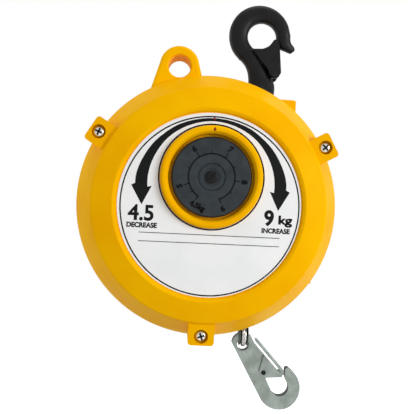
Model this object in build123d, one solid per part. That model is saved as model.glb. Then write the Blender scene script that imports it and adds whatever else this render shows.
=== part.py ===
from build123d import *
import os
from math import acos, atan, cos, degrees, pi, radians, sin, sqrt, tan

# Spring tool balancer for loads of 4.5 to 9 kg, with 1.3 m of travel. Millimetres.
# The origin is the centre of the top hook's bowl, +Z runs up the load line, the front faces -Y,
# and +X is to the right seen from the front. The case hangs to the left of the load line.

# Clearances
RUN = 0.05             # radial clearance of a shaft that turns in a bush
SLIP = 0.2             # radial clearance of a loose pin or screw
AIR = 0.4              # gap between pieces that move past each other

# Rope and drum. The case axis is parallel to Y, with the load line to its right.
LINE_OFFSET = 37.5     # load line right of the case axis, and radius of the first turn of rope
ROPE_R = 2.0
ROPE_GAP = 0.15
TURNS = 5
TURN_PITCH = 4.8
TURN_STEP = 2.2        # growth of the winding radius from turn to turn
DRUM_WEB = 6.0
DRUM_FLANGE_T = 2.0
DRUM_LIP = 6.4         # flange above the last turn
DRUM_LAND = 1.0        # rope to flange
DRUM_ROOM = 3.3        # drum to housing
DRUM_FLANGE_R = LINE_OFFSET + TURN_STEP * (TURNS - 1) + ROPE_R + DRUM_LIP
DRUM_FRONT_Y = -(ROPE_R + DRUM_LAND + DRUM_FLANGE_T)
DRUM_REAR_Y = TURN_PITCH * (TURNS - 1) + ROPE_R + DRUM_LAND + DRUM_FLANGE_T
HUB_R = 14.0
SHAFT_R = 6.0
BUSH_WALL = 2.5

# Hanger: hook stem, bush, washer and nut
STEM_R = 5.0
STEM_DIP = 2.7         # end of the stem below the drum's top, which lies to its left
HANGER_BUSH_WALL = 2.5
HANGER_BUSH_FLANGE = 1.6
HANGER_BUSH_L = 20.0
THRUST_GAP = 0.3
WASHER_T = 1.7
NUT_AF = 16.0
NUT_H = 8.0
NUT_ROOM = 4.0         # window in the block, beside the nut
NUT_BELOW = 9.0        # window below the nut
COTTER_R = 1.2
COTTER_DROP = 2.0      # split pin below the nut
STEM_END = 4.6         # stem below the split pin
STEM_L = HANGER_BUSH_L + THRUST_GAP + WASHER_T + NUT_H + COTTER_DROP + STEM_END

# Hanger block on top of the rear case, measured from the case axis
BLOCK_TOP = DRUM_FLANGE_R - STEM_DIP + STEM_L
BLOCK_H = 44.6
BLOCK_HALF = 29.0
BLOCK_FRONT_Y = -14.0
BLOCK_REAR_Y = 14.0

# Case, measured from its own axis
CASE_CROWN = 11.4      # case above the hanger block
CASE_R = BLOCK_TOP + CASE_CROWN
CASE_Y = -22.0         # joint face between cover and rear case
WALL = 3.5             # wall of the castings
FLANGE = 3.0           # straight band of the cover beside the joint face
RIM_DEPTH = 36.2       # crest of the front band, in front of the joint face
CREST_RISE = 4.2       # crest in front of the ridge
SIDE_LEAN = 15.5       # taper of the side, from the joint face to the ridge
BAND_W = 15.5          # front band, from ridge to crest
RIM_W = 2.5            # from crest to label recess
LABEL_SUNK = 2.7       # recess floor behind the crest
LABEL_T = 0.4
LABEL_GAP = 0.8        # label edge to recess wall
SHOULDER_R = CASE_R - SIDE_LEAN
SHOULDER_DEPTH = RIM_DEPTH - CREST_RISE
RIM_R = SHOULDER_R - BAND_W
LABEL_R = RIM_R - RIM_W
LABEL_DEPTH = RIM_DEPTH - LABEL_SUNK

# Screw pillars
PILLAR_ANGLES = (30, 150, 270)
PILLAR_W = 19.2
PILLAR_EDGE = 6.5      # pillar outside the screw's axis
PILLAR_INSIDE = 15.0   # pillar inside the screw's axis
PILLAR_SINK = 3.0      # pillar face behind the ridge
PILLAR_REAR = 8.0      # foot of the pillar behind the joint face
PILLAR_CORNER = 2.5
SCREW_INSET = 5.0
SCREW_R = 2.0
HEAD_R = 4.2
HEAD_H = 2.8
HEAD_RECESS = 3.6
SCREW_CIRCLE = CASE_R - SCREW_INSET
PILLAR_DEPTH = SHOULDER_DEPTH - PILLAR_SINK

# Load dial and its gears
GEAR_MODULE = 40 / 56  # 12 and 44 teeth on a 20 mm centre distance
PINION_TEETH = 12
DIAL_TEETH = 44
GEAR_T = 4.0
GEAR_SLACK = 0.16
SPINDLE_R = 3.0
DIAL_UP = GEAR_MODULE * (PINION_TEETH + DIAL_TEETH) / 2
DIAL_R = 27.8
DIAL_GAP = 0.6
DIAL_T = 5.0
DIAL_STEP = 0.8        # sunk centre of the dial
DIAL_SUNK = 3.5        # dial face behind the bezel's lip
BEZEL_CONE = 4.0       # from the dial's bore out to the lip
BEZEL_W = 4.1          # from the lip out to the bezel's side
BEZEL_STAND = 2.8      # lip in front of the crest
BEZEL_EDGE = 1.4
BEZEL_LIP_R = DIAL_R + DIAL_GAP + BEZEL_CONE
BEZEL_R = BEZEL_LIP_R + BEZEL_W
BEZEL_DEPTH = RIM_DEPTH + BEZEL_STAND
DIAL_DEPTH = BEZEL_DEPTH - DIAL_SUNK

# Rear case
REAR_BAND = 5.0        # straight band behind the joint face
BACK_LEAN = 14.0       # taper of the rear shell
BACK_Y = 2.0
BACK_R = CASE_R - BACK_LEAN
SHELL_BEND_Y = CASE_Y + REAR_BAND
HOUSING_R = DRUM_FLANGE_R + DRUM_ROOM + WALL
HOUSING_DRAFT = 1.5
HOUSING_EDGE = 3.0
HOUSING_END_Y = DRUM_REAR_Y + DRUM_ROOM + WALL
SHAFT_BOSS = 7.0       # wall round the shaft in the housing's end
SHAFT_BOSS_GAP = 1.2

# Spring case, worm wheel and worm
CAN_INSET = 22.0       # outline of the case to the spring case
CAN_WALL = 2.0
CAN_R = CASE_R - CAN_INSET
CAN_HUB_WALL = 3.5     # front hub round the main shaft
CAN_HUB_L = 7.0
SPRING_PACK = 34.0     # coils that lie packed against the can
SPRING_T = 1.2
SPRING_GAP = 0.4
SHAFT_END_GAP = 1.0    # end of the main shaft to the spring case's front
WHEEL_INSET = 30.0     # outline of the case to the worm wheel's pitch circle
WHEEL_TEETH = 56
WHEEL_R = CASE_R - WHEEL_INSET
WORM_MODULE = 2 * WHEEL_R / WHEEL_TEETH
WHEEL_Y = CASE_Y + 7.0 # middle of the wheel's teeth, and worm axis
WHEEL_FACE = 7.0
WHEEL_ROOM = 1.5       # casting to tooth tips
WHEEL_PLATE = 3.5
WORM_PITCH_R = 8.4
TOOTH_UP = 0.8 * WORM_MODULE
TOOTH_DOWN = 1.04 * WORM_MODULE
TOOTH_SLACK = 0.36     # each tooth and each thread is this much thinner than half the pitch
FLANK = 20.0
THREAD_TURNS = 3
THREAD_STEPS = 14      # straight stretches in one turn of the thread
WORM_SHAFT_R = 4.0
WORM_LOW = -56.0
WORM_HIGH = 35.0
WORM_BUSH_WALL = 1.5
BOSS_LOW = -56.5
BOSS_INNER = 22.0
BOSS_HALF = 7.0        # wall round the worm's bushes, from their axis
BOSS_H = 14.0          # height of the upper boss
HEX_AF = 5.0
HEX_DEPTH = 9.0
KEY_L = 12.0           # way in for the key, below the lower boss
CAN_AIR = 0.8          # worm to spring case
CAN_REAR_Y = WHEEL_Y - WORM_PITCH_R - TOOTH_UP - CAN_AIR

# Top hook
BOWL_R = 11.8
HOOK_OUT_R = 25.3
HOOK_OUT_X = -2.0      # the outer arc's centre, which makes the back of the hook thicker
HOOK_OUT_Z = 0.5
HOOK_T = 11.0
HOOK_EDGE = 2.4
NECK_HALF = 9.7
NECK_BOTTOM = -47.0
COLLAR_R = 10.3
COLLAR_H = 3.5
LATCH_SHEET = 1.5
LATCH_GAP = 0.35
LATCH_ROOM = 0.5       # latch to bowl
LATCH_X = 10.2
LATCH_Z = -31.1
LATCH_PIN_R = 2.0
LATCH_EAR_R = 4.4
CASE_DROP = BLOCK_TOP - NECK_BOTTOM + COLLAR_H + THRUST_GAP + HANGER_BUSH_FLANGE

# Safety lug
LUG_X = -28.3          # from the case axis
LUG_RISE = 6.6         # hole's axis above the case
LUG_Z = CASE_R + LUG_RISE
LUG_R = 16.0
LUG_HOLE_R = 8.8
LUG_T = 20.0
LUG_EDGE = 1.5
LUG_LEFT = (7.5, 26.6) # foot of the left flank, out from the ring and down from the hole's axis
LUG_RIGHT = (5.5, 18.6)

# Rope outlet and the load end
OUTLET_INSET = 16.0    # end of the outlet above the case's lowest point
OUTLET_LOW = OUTLET_INSET - CASE_R
OUTLET_L = 54.0
OUTLET_HALF = 11.0
GUIDE_R = 5.0
GUIDE_L = 10.0
GUIDE_RIM_R = 7.5
GUIDE_RIM_T = 1.5
GUIDE_BORE_R = ROPE_R + 0.6
STOPPER_GAP = 0.3
STOPPER_H = 2.8
FERRULE_L = 7.0
FERRULE_R = 4.6
EYE_DROP = 16.1        # centre of the load hook's eye below the ferrule
EYE_R = 4.8
LOOP_R = 7.5
THIMBLE_WALL = 0.8
THIMBLE_HALF = 2.2

# Load hook, drawn along its own axes: d runs down the shank and n to its right
HOOK_TILT = 30.6       # it is stored leaning to the right, as photographed
PLATE_T = 6.0
PLATE_LEFT = -7.4
PLATE_TOP_R = 9.2
GATE_D = 28.0
GATE_N = 4.6
GATE_PIN_R = 1.6
GATE_REACH = 18.1      # radius that the gate's end sweeps round its rivet, and a little more
GATE_SHEET = 1.2
GATE_GAP = 0.3

AXIS_X = -LINE_OFFSET
AXIS_Z = -CASE_DROP
DRUM_R0 = LINE_OFFSET
WORM_X = AXIS_X + WHEEL_R + WORM_PITCH_R
WORM_LEAD = pi * WORM_MODULE
GUIDE_LOW = AXIS_Z + OUTLET_LOW
STOPPER_TOP = GUIDE_LOW - GUIDE_RIM_T - STOPPER_GAP
FERRULE_TOP = STOPPER_TOP - STOPPER_H
FERRULE_BOTTOM = FERRULE_TOP - FERRULE_L
EYE_Z = FERRULE_BOTTOM - EYE_DROP


def on_axis(shape, up=0.0):
    """Move a piece turned about Y onto the case axis, or onto one above it."""
    return Pos(AXIS_X, 0, AXIS_Z + up) * shape


def turned(*outline):
    """Turn an outline of (radius, y) points about Y."""
    return revolve(make_face(Polyline(*outline, close=True)), Axis.Y)


def rod(radius, y0, y1):
    """Round bar along Y."""
    return Pos(0, (y0 + y1) / 2, 0) * Rot(90, 0, 0) * Cylinder(radius, abs(y1 - y0))


def post(radius, z0, z1):
    """Round bar along Z."""
    return Pos(0, 0, (z0 + z1) / 2) * Cylinder(radius, abs(z1 - z0))


def block(x0, x1, y0, y1, z0, z1):
    """Box between two corners."""
    return Pos((x0 + x1) / 2, (y0 + y1) / 2, (z0 + z1) / 2) * Box(x1 - x0, y1 - y0, z1 - z0)


def plate_xz(face_edges, y0, y1):
    """Extrude an outline drawn in X and Z from y0 to y1."""
    face = make_face(Plane.XZ * face_edges)
    return Pos(0, y0, 0) * extrude(face, y1 - y0, dir=(0, 1, 0))


def bevel(solid, length, y, size):
    """Break the circular edges of a turned piece at one height and radius."""
    edges = solid.edges().filter_by(GeomType.CIRCLE)
    return chamfer([e for e in edges if abs(e.center().Y - y) < 0.05 and abs(e.radius - size) < 0.05], length)


def side_taper(depth):
    """Outside radius of the cover at a depth in front of the joint face."""
    share = max(depth - FLANGE, 0) / (SHOULDER_DEPTH - FLANGE)
    return CASE_R - (CASE_R - SHOULDER_R) * share


TAPER_WALL = WALL / cos(atan((CASE_R - SHOULDER_R) / (SHOULDER_DEPTH - FLANGE)))
FLOOR_Y = CASE_Y - LABEL_DEPTH + WALL
POCKET_Y = CASE_Y - DIAL_DEPTH + DIAL_T + 0.3
POCKET_BACK_Y = POCKET_Y + 3.0
DIAL_BORE_R = DIAL_R + DIAL_GAP
JOURNAL_END_Y = POCKET_BACK_Y + 2.8
GEAR_Y = JOURNAL_END_Y + 0.5


def front_cover():
    """Die-cast dish with a crested front band, a recessed label floor and a raised dial bezel."""
    inner_end = SHOULDER_DEPTH - WALL
    shell = turned(
        (0, CASE_Y - LABEL_DEPTH),
        (LABEL_R, CASE_Y - LABEL_DEPTH),
        (LABEL_R, CASE_Y - RIM_DEPTH + RIM_W / 2),
        (RIM_R, CASE_Y - RIM_DEPTH),
        (SHOULDER_R, CASE_Y - SHOULDER_DEPTH),
        (CASE_R, CASE_Y - FLANGE),
        (CASE_R, CASE_Y),
        (CASE_R - TAPER_WALL, CASE_Y),
        (side_taper(inner_end) - TAPER_WALL, CASE_Y - inner_end),
        (LABEL_R, FLOOR_Y),
        (0, FLOOR_Y),
    )
    bezel = turned(
        (0, CASE_Y - BEZEL_DEPTH + BEZEL_CONE),
        (DIAL_BORE_R, CASE_Y - BEZEL_DEPTH + BEZEL_CONE),
        (BEZEL_LIP_R, CASE_Y - BEZEL_DEPTH),
        (BEZEL_R - BEZEL_EDGE, CASE_Y - BEZEL_DEPTH),
        (BEZEL_R, CASE_Y - BEZEL_DEPTH + BEZEL_EDGE),
        (BEZEL_R, FLOOR_Y),
        (DIAL_BORE_R + 3, POCKET_BACK_Y),
        (0, POCKET_BACK_Y),
    )
    pocket = rod(DIAL_BORE_R, CASE_Y - BEZEL_DEPTH - 1, POCKET_Y)
    body = shell + Pos(0, 0, DIAL_UP) * bezel
    body += rod(SPINDLE_R + 4, POCKET_BACK_Y - 1, JOURNAL_END_Y)
    for angle in PILLAR_ANGLES:
        body += Rot(0, -angle, 0) * pillar(CASE_Y - PILLAR_DEPTH, CASE_Y)
    body -= Pos(0, 0, DIAL_UP) * pocket
    body -= Pos(0, 0, DIAL_UP) * rod(SPINDLE_R + RUN, POCKET_Y - 1, POCKET_BACK_Y + 1)
    body -= rod(SPINDLE_R + RUN, POCKET_Y + 1, JOURNAL_END_Y + 1)
    for angle in PILLAR_ANGLES:
        body -= Rot(0, -angle, 0) * screw_hole(CASE_Y - PILLAR_DEPTH)
    return on_axis(body)


def pillar(y0, y1):
    """Screw pillar on the +X side, before it is turned to its place."""
    foot = SCREW_CIRCLE - PILLAR_INSIDE
    bar = block(foot, SCREW_CIRCLE + PILLAR_EDGE, y0, y1, -PILLAR_W / 2, PILLAR_W / 2)
    corners = [e for e in bar.edges().filter_by(Axis.Y) if e.center().X > foot + 1]
    return fillet(corners, PILLAR_CORNER)


def screw_hole(face_y):
    """Clearance hole and head recess of one pillar."""
    hole = rod(SCREW_R + SLIP, face_y - 1, CASE_Y + 1)
    recess = rod(HEAD_R + 0.9, face_y - 1, face_y + HEAD_RECESS)
    return Pos(SCREW_CIRCLE, 0, 0) * (hole + recess)


REAR_FOOT_Y = CASE_Y + PILLAR_REAR
SCREW_END_Y = REAR_FOOT_Y - 0.5


def back_taper(y):
    """Outside radius of the rear shell at y."""
    share = min(max((y - SHELL_BEND_Y) / (BACK_Y - SHELL_BEND_Y), 0), 1)
    return CASE_R - (CASE_R - BACK_R) * share


def rear_case():
    """Die-cast rear half: tapered shell, drum housing, hanger block, safety lug and worm bosses."""
    outside = turned(
        (0, CASE_Y),
        (CASE_R, CASE_Y),
        (CASE_R, SHELL_BEND_Y),
        (BACK_R, BACK_Y),
        (HOUSING_R, BACK_Y),
        (HOUSING_R - HOUSING_DRAFT, HOUSING_END_Y),
        (0, HOUSING_END_Y),
    )
    outside = bevel(outside, HOUSING_EDGE, HOUSING_END_Y, HOUSING_R - HOUSING_DRAFT)
    back_in_y = BACK_Y - WALL
    inside = turned(
        (0, CASE_Y - 1),
        (CASE_R - TAPER_WALL, CASE_Y - 1),
        (CASE_R - TAPER_WALL, SHELL_BEND_Y),
        (back_taper(back_in_y) - TAPER_WALL, back_in_y),
        (HOUSING_R - WALL - HOUSING_DRAFT / 2, back_in_y),
        (HOUSING_R - WALL - HOUSING_DRAFT / 2, HOUSING_END_Y - WALL),
        (0, HOUSING_END_Y - WALL),
    )
    turning = rod(WHEEL_R + TOOTH_UP + WHEEL_ROOM, CASE_Y - 1, WHEEL_Y + WHEEL_FACE / 2 + WHEEL_ROOM)
    turning += rod(HOUSING_R - WALL, CASE_Y, BACK_Y - WALL)
    body = outside + safety_lug() - inside
    body += (hanger_block() + outlet_block() - turning) - rod(HOUSING_R - WALL, BACK_Y - WALL - 1, HOUSING_END_Y)
    body += rod(SHAFT_R + SHAFT_BOSS, DRUM_REAR_Y + SHAFT_BOSS_GAP, HOUSING_END_Y - 1)
    for angle in PILLAR_ANGLES:
        body += Rot(0, -angle, 0) * pillar(CASE_Y, REAR_FOOT_Y)
        body -= Rot(0, -angle, 0) * Pos(SCREW_CIRCLE, 0, 0) * rod(SCREW_R, CASE_Y - 1, SCREW_END_Y + 0.3)
    body += worm_boss(BOSS_LOW, -BOSS_INNER)
    body += worm_boss(BOSS_INNER, BOSS_INNER + BOSS_H) & outside
    body -= worm_holes()
    body -= nut_window()
    body -= rod(SHAFT_R, DRUM_REAR_Y, HOUSING_END_Y + 1)
    body -= on_line(post(STEM_R + HANGER_BUSH_WALL, BLOCK_TOP - HANGER_BUSH_L - 1, BLOCK_TOP + 1))
    body -= on_line(post(ROPE_R + 2, OUTLET_LOW - 1, OUTLET_LOW + OUTLET_L))
    body -= on_line(post(GUIDE_R, OUTLET_LOW - 1, OUTLET_LOW + GUIDE_L))
    body -= on_line(post(GUIDE_RIM_R + AIR, OUTLET_LOW - 20, OUTLET_LOW))
    return on_axis(body)


def on_line(shape):
    """Move a piece from the case axis to the load line, in the case's own coordinates."""
    return Pos(LINE_OFFSET, 0, 0) * shape


def hanger_block():
    """Block over the load line that carries the swivel hook."""
    left, right = LINE_OFFSET - BLOCK_HALF, LINE_OFFSET + BLOCK_HALF
    top = block(left, right, BLOCK_FRONT_Y, BLOCK_REAR_Y, BLOCK_TOP - BLOCK_H, BLOCK_TOP)
    return fillet([e for e in top.edges().filter_by(Axis.Y) if e.center().Z > BLOCK_TOP - 1], 2.0)


def nut_window():
    """Window behind the hanger block's bush, open at the rear for the nut."""
    half = NUT_AF / 2 + NUT_ROOM
    top = BLOCK_TOP - HANGER_BUSH_L
    front = WHEEL_Y + WHEEL_FACE / 2 + WHEEL_ROOM
    return on_line(block(-half, half, front, BLOCK_REAR_Y + 1, top - NUT_H - NUT_BELOW, top))


def outlet_block():
    """Neck below the drum through which the rope leaves."""
    left, right = LINE_OFFSET - OUTLET_HALF, LINE_OFFSET + OUTLET_HALF
    neck = block(left, right, -OUTLET_HALF, OUTLET_HALF, OUTLET_LOW, OUTLET_LOW + OUTLET_L)
    return fillet([e for e in neck.edges().filter_by(Axis.Z) if e.center().Y > 0], 3.0)


def safety_lug():
    """Ear with a round hole for the safety chain."""
    left = (LUG_X - LUG_R - LUG_LEFT[0], LUG_Z - LUG_LEFT[1])
    right = (LUG_X + LUG_R + LUG_RIGHT[0], LUG_Z - LUG_RIGHT[1])
    ring = [
        Line(left, (LUG_X - LUG_R + 0.8, LUG_Z + 3)),
        ThreePointArc((LUG_X - LUG_R + 0.8, LUG_Z + 3), (LUG_X, LUG_Z + LUG_R), (LUG_X + LUG_R - 0.8, LUG_Z + 3)),
        Line((LUG_X + LUG_R - 0.8, LUG_Z + 3), right),
        Line(right, left),
    ]
    ear = plate_xz(Curve() + ring, CASE_Y, CASE_Y + LUG_T)
    rims = [e for e in ear.edges() if e.center().Z > right[1] + 1 and abs(e.center().Y - CASE_Y - LUG_T / 2) > 1]
    ear = chamfer(rims, LUG_EDGE)
    return ear - Pos(LUG_X, 0, LUG_Z) * rod(LUG_HOLE_R, CASE_Y - 1, CASE_Y + LUG_T + 1)


def worm_boss(z0, z1):
    """Bearing block of the worm on the right side, between two heights."""
    middle = WHEEL_R + WORM_PITCH_R
    return block(middle - BOSS_HALF, middle + BOSS_HALF, WHEEL_Y - BOSS_HALF, WHEEL_Y + BOSS_HALF + 2, z0, z1)


def worm_holes():
    """Bush seats in the worm bosses; the lower one opens through the shell for the key."""
    middle = WHEEL_R + WORM_PITCH_R
    seat = WORM_SHAFT_R + WORM_BUSH_WALL
    low = post(seat, BOSS_LOW - KEY_L, -BOSS_INNER + 1)
    high = post(seat, BOSS_INNER - 1, WORM_HIGH + 0.6)
    return Pos(middle, WHEEL_Y, 0) * (low + high)


def case_screws():
    """Three cross-recessed pan-head screws."""
    seat_y = CASE_Y - PILLAR_DEPTH + HEAD_RECESS
    screws = []
    for angle in PILLAR_ANGLES:
        head = rod(HEAD_R, seat_y - HEAD_H, seat_y)
        cross = Box(4.6, 2 * 1.7, 1.1) + Box(1.1, 2 * 1.7, 4.6)
        screw = head + rod(SCREW_R - 0.02, seat_y, SCREW_END_Y) - Pos(0, seat_y - HEAD_H, 0) * cross
        screws.append(on_axis(Rot(0, -angle, 0) * Pos(SCREW_CIRCLE, 0, 0) * Rot(0, angle + 20, 0) * screw))
    return Compound(children=screws)


def label_plate():
    """Thin printed plate in the cover's recess, cut out round the bezel."""
    y = CASE_Y - LABEL_DEPTH
    disc = rod(LABEL_R - LABEL_GAP, y - LABEL_T, y)
    return on_axis(disc - Pos(0, 0, DIAL_UP) * rod(BEZEL_R + 0.3, y - 1, y + 1))


DIAL_CENTRE_R = 9.3
DIAL_SCREW_R = 1.2


def load_dial():
    """Dark moulded dial with a stepped face, a sunk centre and its spindle."""
    front = CASE_Y - DIAL_DEPTH
    face = turned(
        (0, front + DIAL_STEP),
        (DIAL_CENTRE_R, front + DIAL_STEP),
        (DIAL_CENTRE_R, front),
        (DIAL_R - 1.0, front),
        (DIAL_R, front + 1.0),
        (DIAL_R, front + DIAL_T),
        (0, front + DIAL_T),
    )
    spindle = rod(SPINDLE_R, front + DIAL_T - 0.5, GEAR_Y + GEAR_T)
    hole = rod(DIAL_SCREW_R, front - 1, GEAR_Y + GEAR_T + 1)
    return on_axis(face + spindle - hole, DIAL_UP)


def dial_screw():
    """Slotted screw through the dial's centre into its gear."""
    seat = CASE_Y - DIAL_DEPTH + DIAL_STEP
    head_h = 2.0
    head = rod(DIAL_CENTRE_R / 2, seat - head_h, seat)
    slot = Rot(0, -50, 0) * Box(DIAL_CENTRE_R + 1, 2.4, 1.2)
    screw = head + rod(DIAL_SCREW_R - 0.05, seat, GEAR_Y + GEAR_T)
    return on_axis(screw - Pos(0, seat - head_h, 0) * slot, DIAL_UP)


def spur_outline(teeth, module, slack):
    """Outline of a spur gear whose flanks are short straight runs along an involute."""
    pitch_r = module * teeth / 2
    base_r = pitch_r * cos(radians(20))
    root_r, tip_r = pitch_r - 1.2 * module, pitch_r + 0.9 * module

    def half_angle(r):
        lean = acos(min(base_r / max(r, base_r), 1))
        at_pitch = tan(radians(20)) - radians(20)
        return pi / (2 * teeth) - slack / (2 * pitch_r) + at_pitch - (tan(lean) - lean)

    radii = [root_r, base_r, pitch_r, tip_r] if base_r > root_r else [root_r, tip_r]
    points = []
    for i in range(teeth):
        middle = 2 * pi * i / teeth
        flank = [(r, half_angle(r)) for r in radii]
        for r, a in flank:
            points.append((r * cos(middle - a), r * sin(middle - a)))
        for r, a in reversed(flank):
            points.append((r * cos(middle + a), r * sin(middle + a)))
    return points


def spur_gear(teeth, slack, bore_r, start):
    """Gear of the dial train, its first tooth at an angle from +X seen from the front."""
    points = spur_outline(teeth, GEAR_MODULE, slack)
    face = make_face(Plane.XZ * Polyline(*points, close=True))
    gear = Pos(0, GEAR_Y, 0) * extrude(face, GEAR_T, dir=(0, 1, 0))
    return Rot(0, -start, 0) * gear - rod(bore_r, GEAR_Y - 1, GEAR_Y + GEAR_T + 1)


def dial_gear():
    """Gear on the dial spindle. A gap points straight down at the pinion."""
    return on_axis(spur_gear(DIAL_TEETH, GEAR_SLACK, SPINDLE_R, -90 + 180 / DIAL_TEETH), DIAL_UP)


def dial_pinion():
    """Pinion on the spring case's journal. A tooth points straight up at the gear."""
    return on_axis(spur_gear(PINION_TEETH, GEAR_SLACK, SPINDLE_R, 90))


def bush(inner, wall, y0, y1):
    """Plain bearing bush about Y."""
    return rod(inner + wall, y0, y1) - rod(inner, y0 - 1, y1 + 1)


CAN_FRONT_Y = GEAR_Y + GEAR_T + AIR
CAN_INNER_FRONT = CAN_FRONT_Y + CAN_WALL
CAN_INNER_REAR = CAN_REAR_Y - CAN_WALL


def spring_case():
    """Pressed can of the power spring with its front hub and journal."""
    can = turned(
        (0, CAN_FRONT_Y),
        (CAN_R, CAN_FRONT_Y),
        (CAN_R, CAN_INNER_REAR),
        (CAN_R - CAN_WALL, CAN_INNER_REAR),
        (CAN_R - CAN_WALL, CAN_INNER_FRONT),
        (SHAFT_R + CAN_HUB_WALL, CAN_INNER_FRONT),
        (SHAFT_R + CAN_HUB_WALL, CAN_INNER_FRONT + CAN_HUB_L),
        (0, CAN_INNER_FRONT + CAN_HUB_L),
    )
    can += rod(SPINDLE_R, CASE_Y - LABEL_DEPTH + WALL + 4, CAN_FRONT_Y + 1)
    can -= rod(SHAFT_R + RUN, CAN_INNER_FRONT + SHAFT_END_GAP / 2, CAN_INNER_FRONT + CAN_HUB_L + 1)
    return on_axis(can)


def spring_lid():
    """Rear lid of the can, between can and worm wheel."""
    return on_axis(bush(HUB_R + AIR, CAN_R - HUB_R - AIR, CAN_INNER_REAR, CAN_REAR_Y))


def power_spring():
    """Flat spring wound against the can's wall, with its last coils running in to the arbor."""
    outer = CAN_R - CAN_WALL - SPRING_GAP + 0.1
    y0, y1 = CAN_INNER_FRONT + SPRING_GAP, CAN_INNER_REAR - SPRING_GAP
    pack = bush(outer - SPRING_PACK, SPRING_PACK, y0, y1)
    halves = 3
    drop = (outer - SPRING_PACK - HUB_R - AIR) / halves
    for half in range(halves):
        r = outer - SPRING_PACK - drop * (half + 0.5)
        side = 1 if half % 2 == 0 else -1
        band = Pos(side * drop / 2, 0, 0) * bush(r, SPRING_T, y0, y1)
        keep = block(-CAN_R, CAN_R, y0, y1, 0, CAN_R) if side > 0 else block(-CAN_R, CAN_R, y0, y1, -CAN_R, 0)
        pack += band & keep
    return on_axis(pack)


def worm_wheel():
    """Worm wheel whose teeth lean by the worm's lead angle."""
    root_r, tip_r = WHEEL_R - TOOTH_DOWN, WHEEL_R + TOOTH_UP
    y0, y1 = WHEEL_Y - WHEEL_FACE / 2, WHEEL_Y + WHEEL_FACE / 2
    half = pi * WORM_MODULE / 4 - TOOTH_SLACK / 2
    root_half = half + TOOTH_DOWN * tan(radians(FLANK))
    tip_half = half - TOOTH_UP * tan(radians(FLANK))
    lean = degrees(WORM_LEAD / (2 * pi * WORM_PITCH_R) * WHEEL_FACE / 2 / WHEEL_R)
    points = []
    for i in range(WHEEL_TEETH):
        middle = 2 * pi * (i + 0.5) / WHEEL_TEETH
        for r, side in ((root_r, -root_half), (tip_r, -tip_half), (tip_r, tip_half), (root_r, root_half)):
            points.append((r * cos(middle + side / r), r * sin(middle + side / r)))
    face = make_face(Plane.XZ * Polyline(*points, close=True))
    front = Pos(0, y0, 0) * Rot(0, -lean, 0) * face
    rear = Pos(0, y1, 0) * Rot(0, lean, 0) * face
    teeth = loft([front, rear], ruled=True)
    teeth -= rod(root_r - 6, y0 - 1, y1 + 1)
    hub = turned(
        (HUB_R + 2, CAN_REAR_Y),
        (root_r - 2, CAN_REAR_Y),
        (root_r - 2, y0 + 0.5),
        (root_r - 6, y0 + 0.5),
        (root_r - 6, CAN_REAR_Y + WHEEL_PLATE),
        (HUB_R + 2, CAN_REAR_Y + WHEEL_PLATE),
    )
    return on_axis(teeth + hub)


def straight_thread(side, lead, turns):
    """Thread of straight stretches whose section is a quadrangle of (radius, z) points."""
    steps = turns * THREAD_STEPS

    def corner(step, k):
        r, z = side[k % 4]
        turn = 2 * pi * step / THREAD_STEPS
        return (r * cos(turn), r * sin(turn), z + lead * (step / THREAD_STEPS - turns / 2))

    outlines = [[corner(step, k) for k in range(4)] for step in (0, steps)]
    for step in range(steps):
        for k in range(4):
            outlines.append([corner(step, k), corner(step + 1, k), corner(step + 1, k + 1)])
            outlines.append([corner(step, k), corner(step + 1, k + 1), corner(step, k + 1)])
    return Solid(Shell([make_face(Polyline(*points, close=True)).face() for points in outlines]))


def worm():
    """Single-start worm with its collars, journals and a hexagon socket at the lower end."""
    tip_r = WORM_PITCH_R + TOOTH_UP
    root_r = WORM_PITCH_R - TOOTH_DOWN
    half = WORM_LEAD / 4 - TOOTH_SLACK / 2
    root_half = half + TOOTH_DOWN * tan(radians(FLANK))
    tip_half = half - TOOTH_UP * tan(radians(FLANK))
    sunk = 0.3
    side = [(root_r - sunk, -root_half), (tip_r, -tip_half), (tip_r, tip_half), (root_r - sunk, root_half)]
    thread = straight_thread(side, WORM_LEAD, THREAD_TURNS)
    collar_end = BOSS_INNER - AIR
    core = revolve(make_face(Polyline(
        (0, WORM_LOW), (WORM_SHAFT_R, WORM_LOW), (WORM_SHAFT_R, -collar_end), (root_r, -collar_end),
        (root_r, collar_end), (WORM_SHAFT_R, collar_end), (WORM_SHAFT_R, WORM_HIGH), (0, WORM_HIGH),
        close=True)), Axis.Y)
    body = Rot(90, 0, 0) * core + thread
    socket = extrude(RegularPolygon(HEX_AF / 2, 6, major_radius=False), HEX_DEPTH + 1)
    body -= Pos(0, 0, WORM_LOW - 1) * socket
    return Pos(WORM_X, WHEEL_Y, AXIS_Z) * body


def worm_bushes():
    """Two flanged bushes that carry the worm."""
    outer = WORM_SHAFT_R + WORM_BUSH_WALL
    low = post(outer, BOSS_LOW, -BOSS_INNER) - post(WORM_SHAFT_R + RUN, BOSS_LOW - 1, 0)
    high = post(outer, BOSS_INNER, WORM_HIGH) - post(WORM_SHAFT_R + RUN, 0, WORM_HIGH + 1)
    place = Pos(WORM_X, WHEEL_Y, AXIS_Z)
    return Compound(children=[place * low, place * high])


SHAFT_END = 7.0        # thread of the shaft behind the housing


def main_shaft():
    """Fixed shaft from the rear wall through the drum to the spring case's hub."""
    bar = rod(SHAFT_R, CAN_INNER_FRONT + SHAFT_END_GAP, HOUSING_END_Y)
    thread = rod(SHAFT_R - 1, HOUSING_END_Y, HOUSING_END_Y + SHAFT_END)
    return on_axis(bar + thread)


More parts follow.
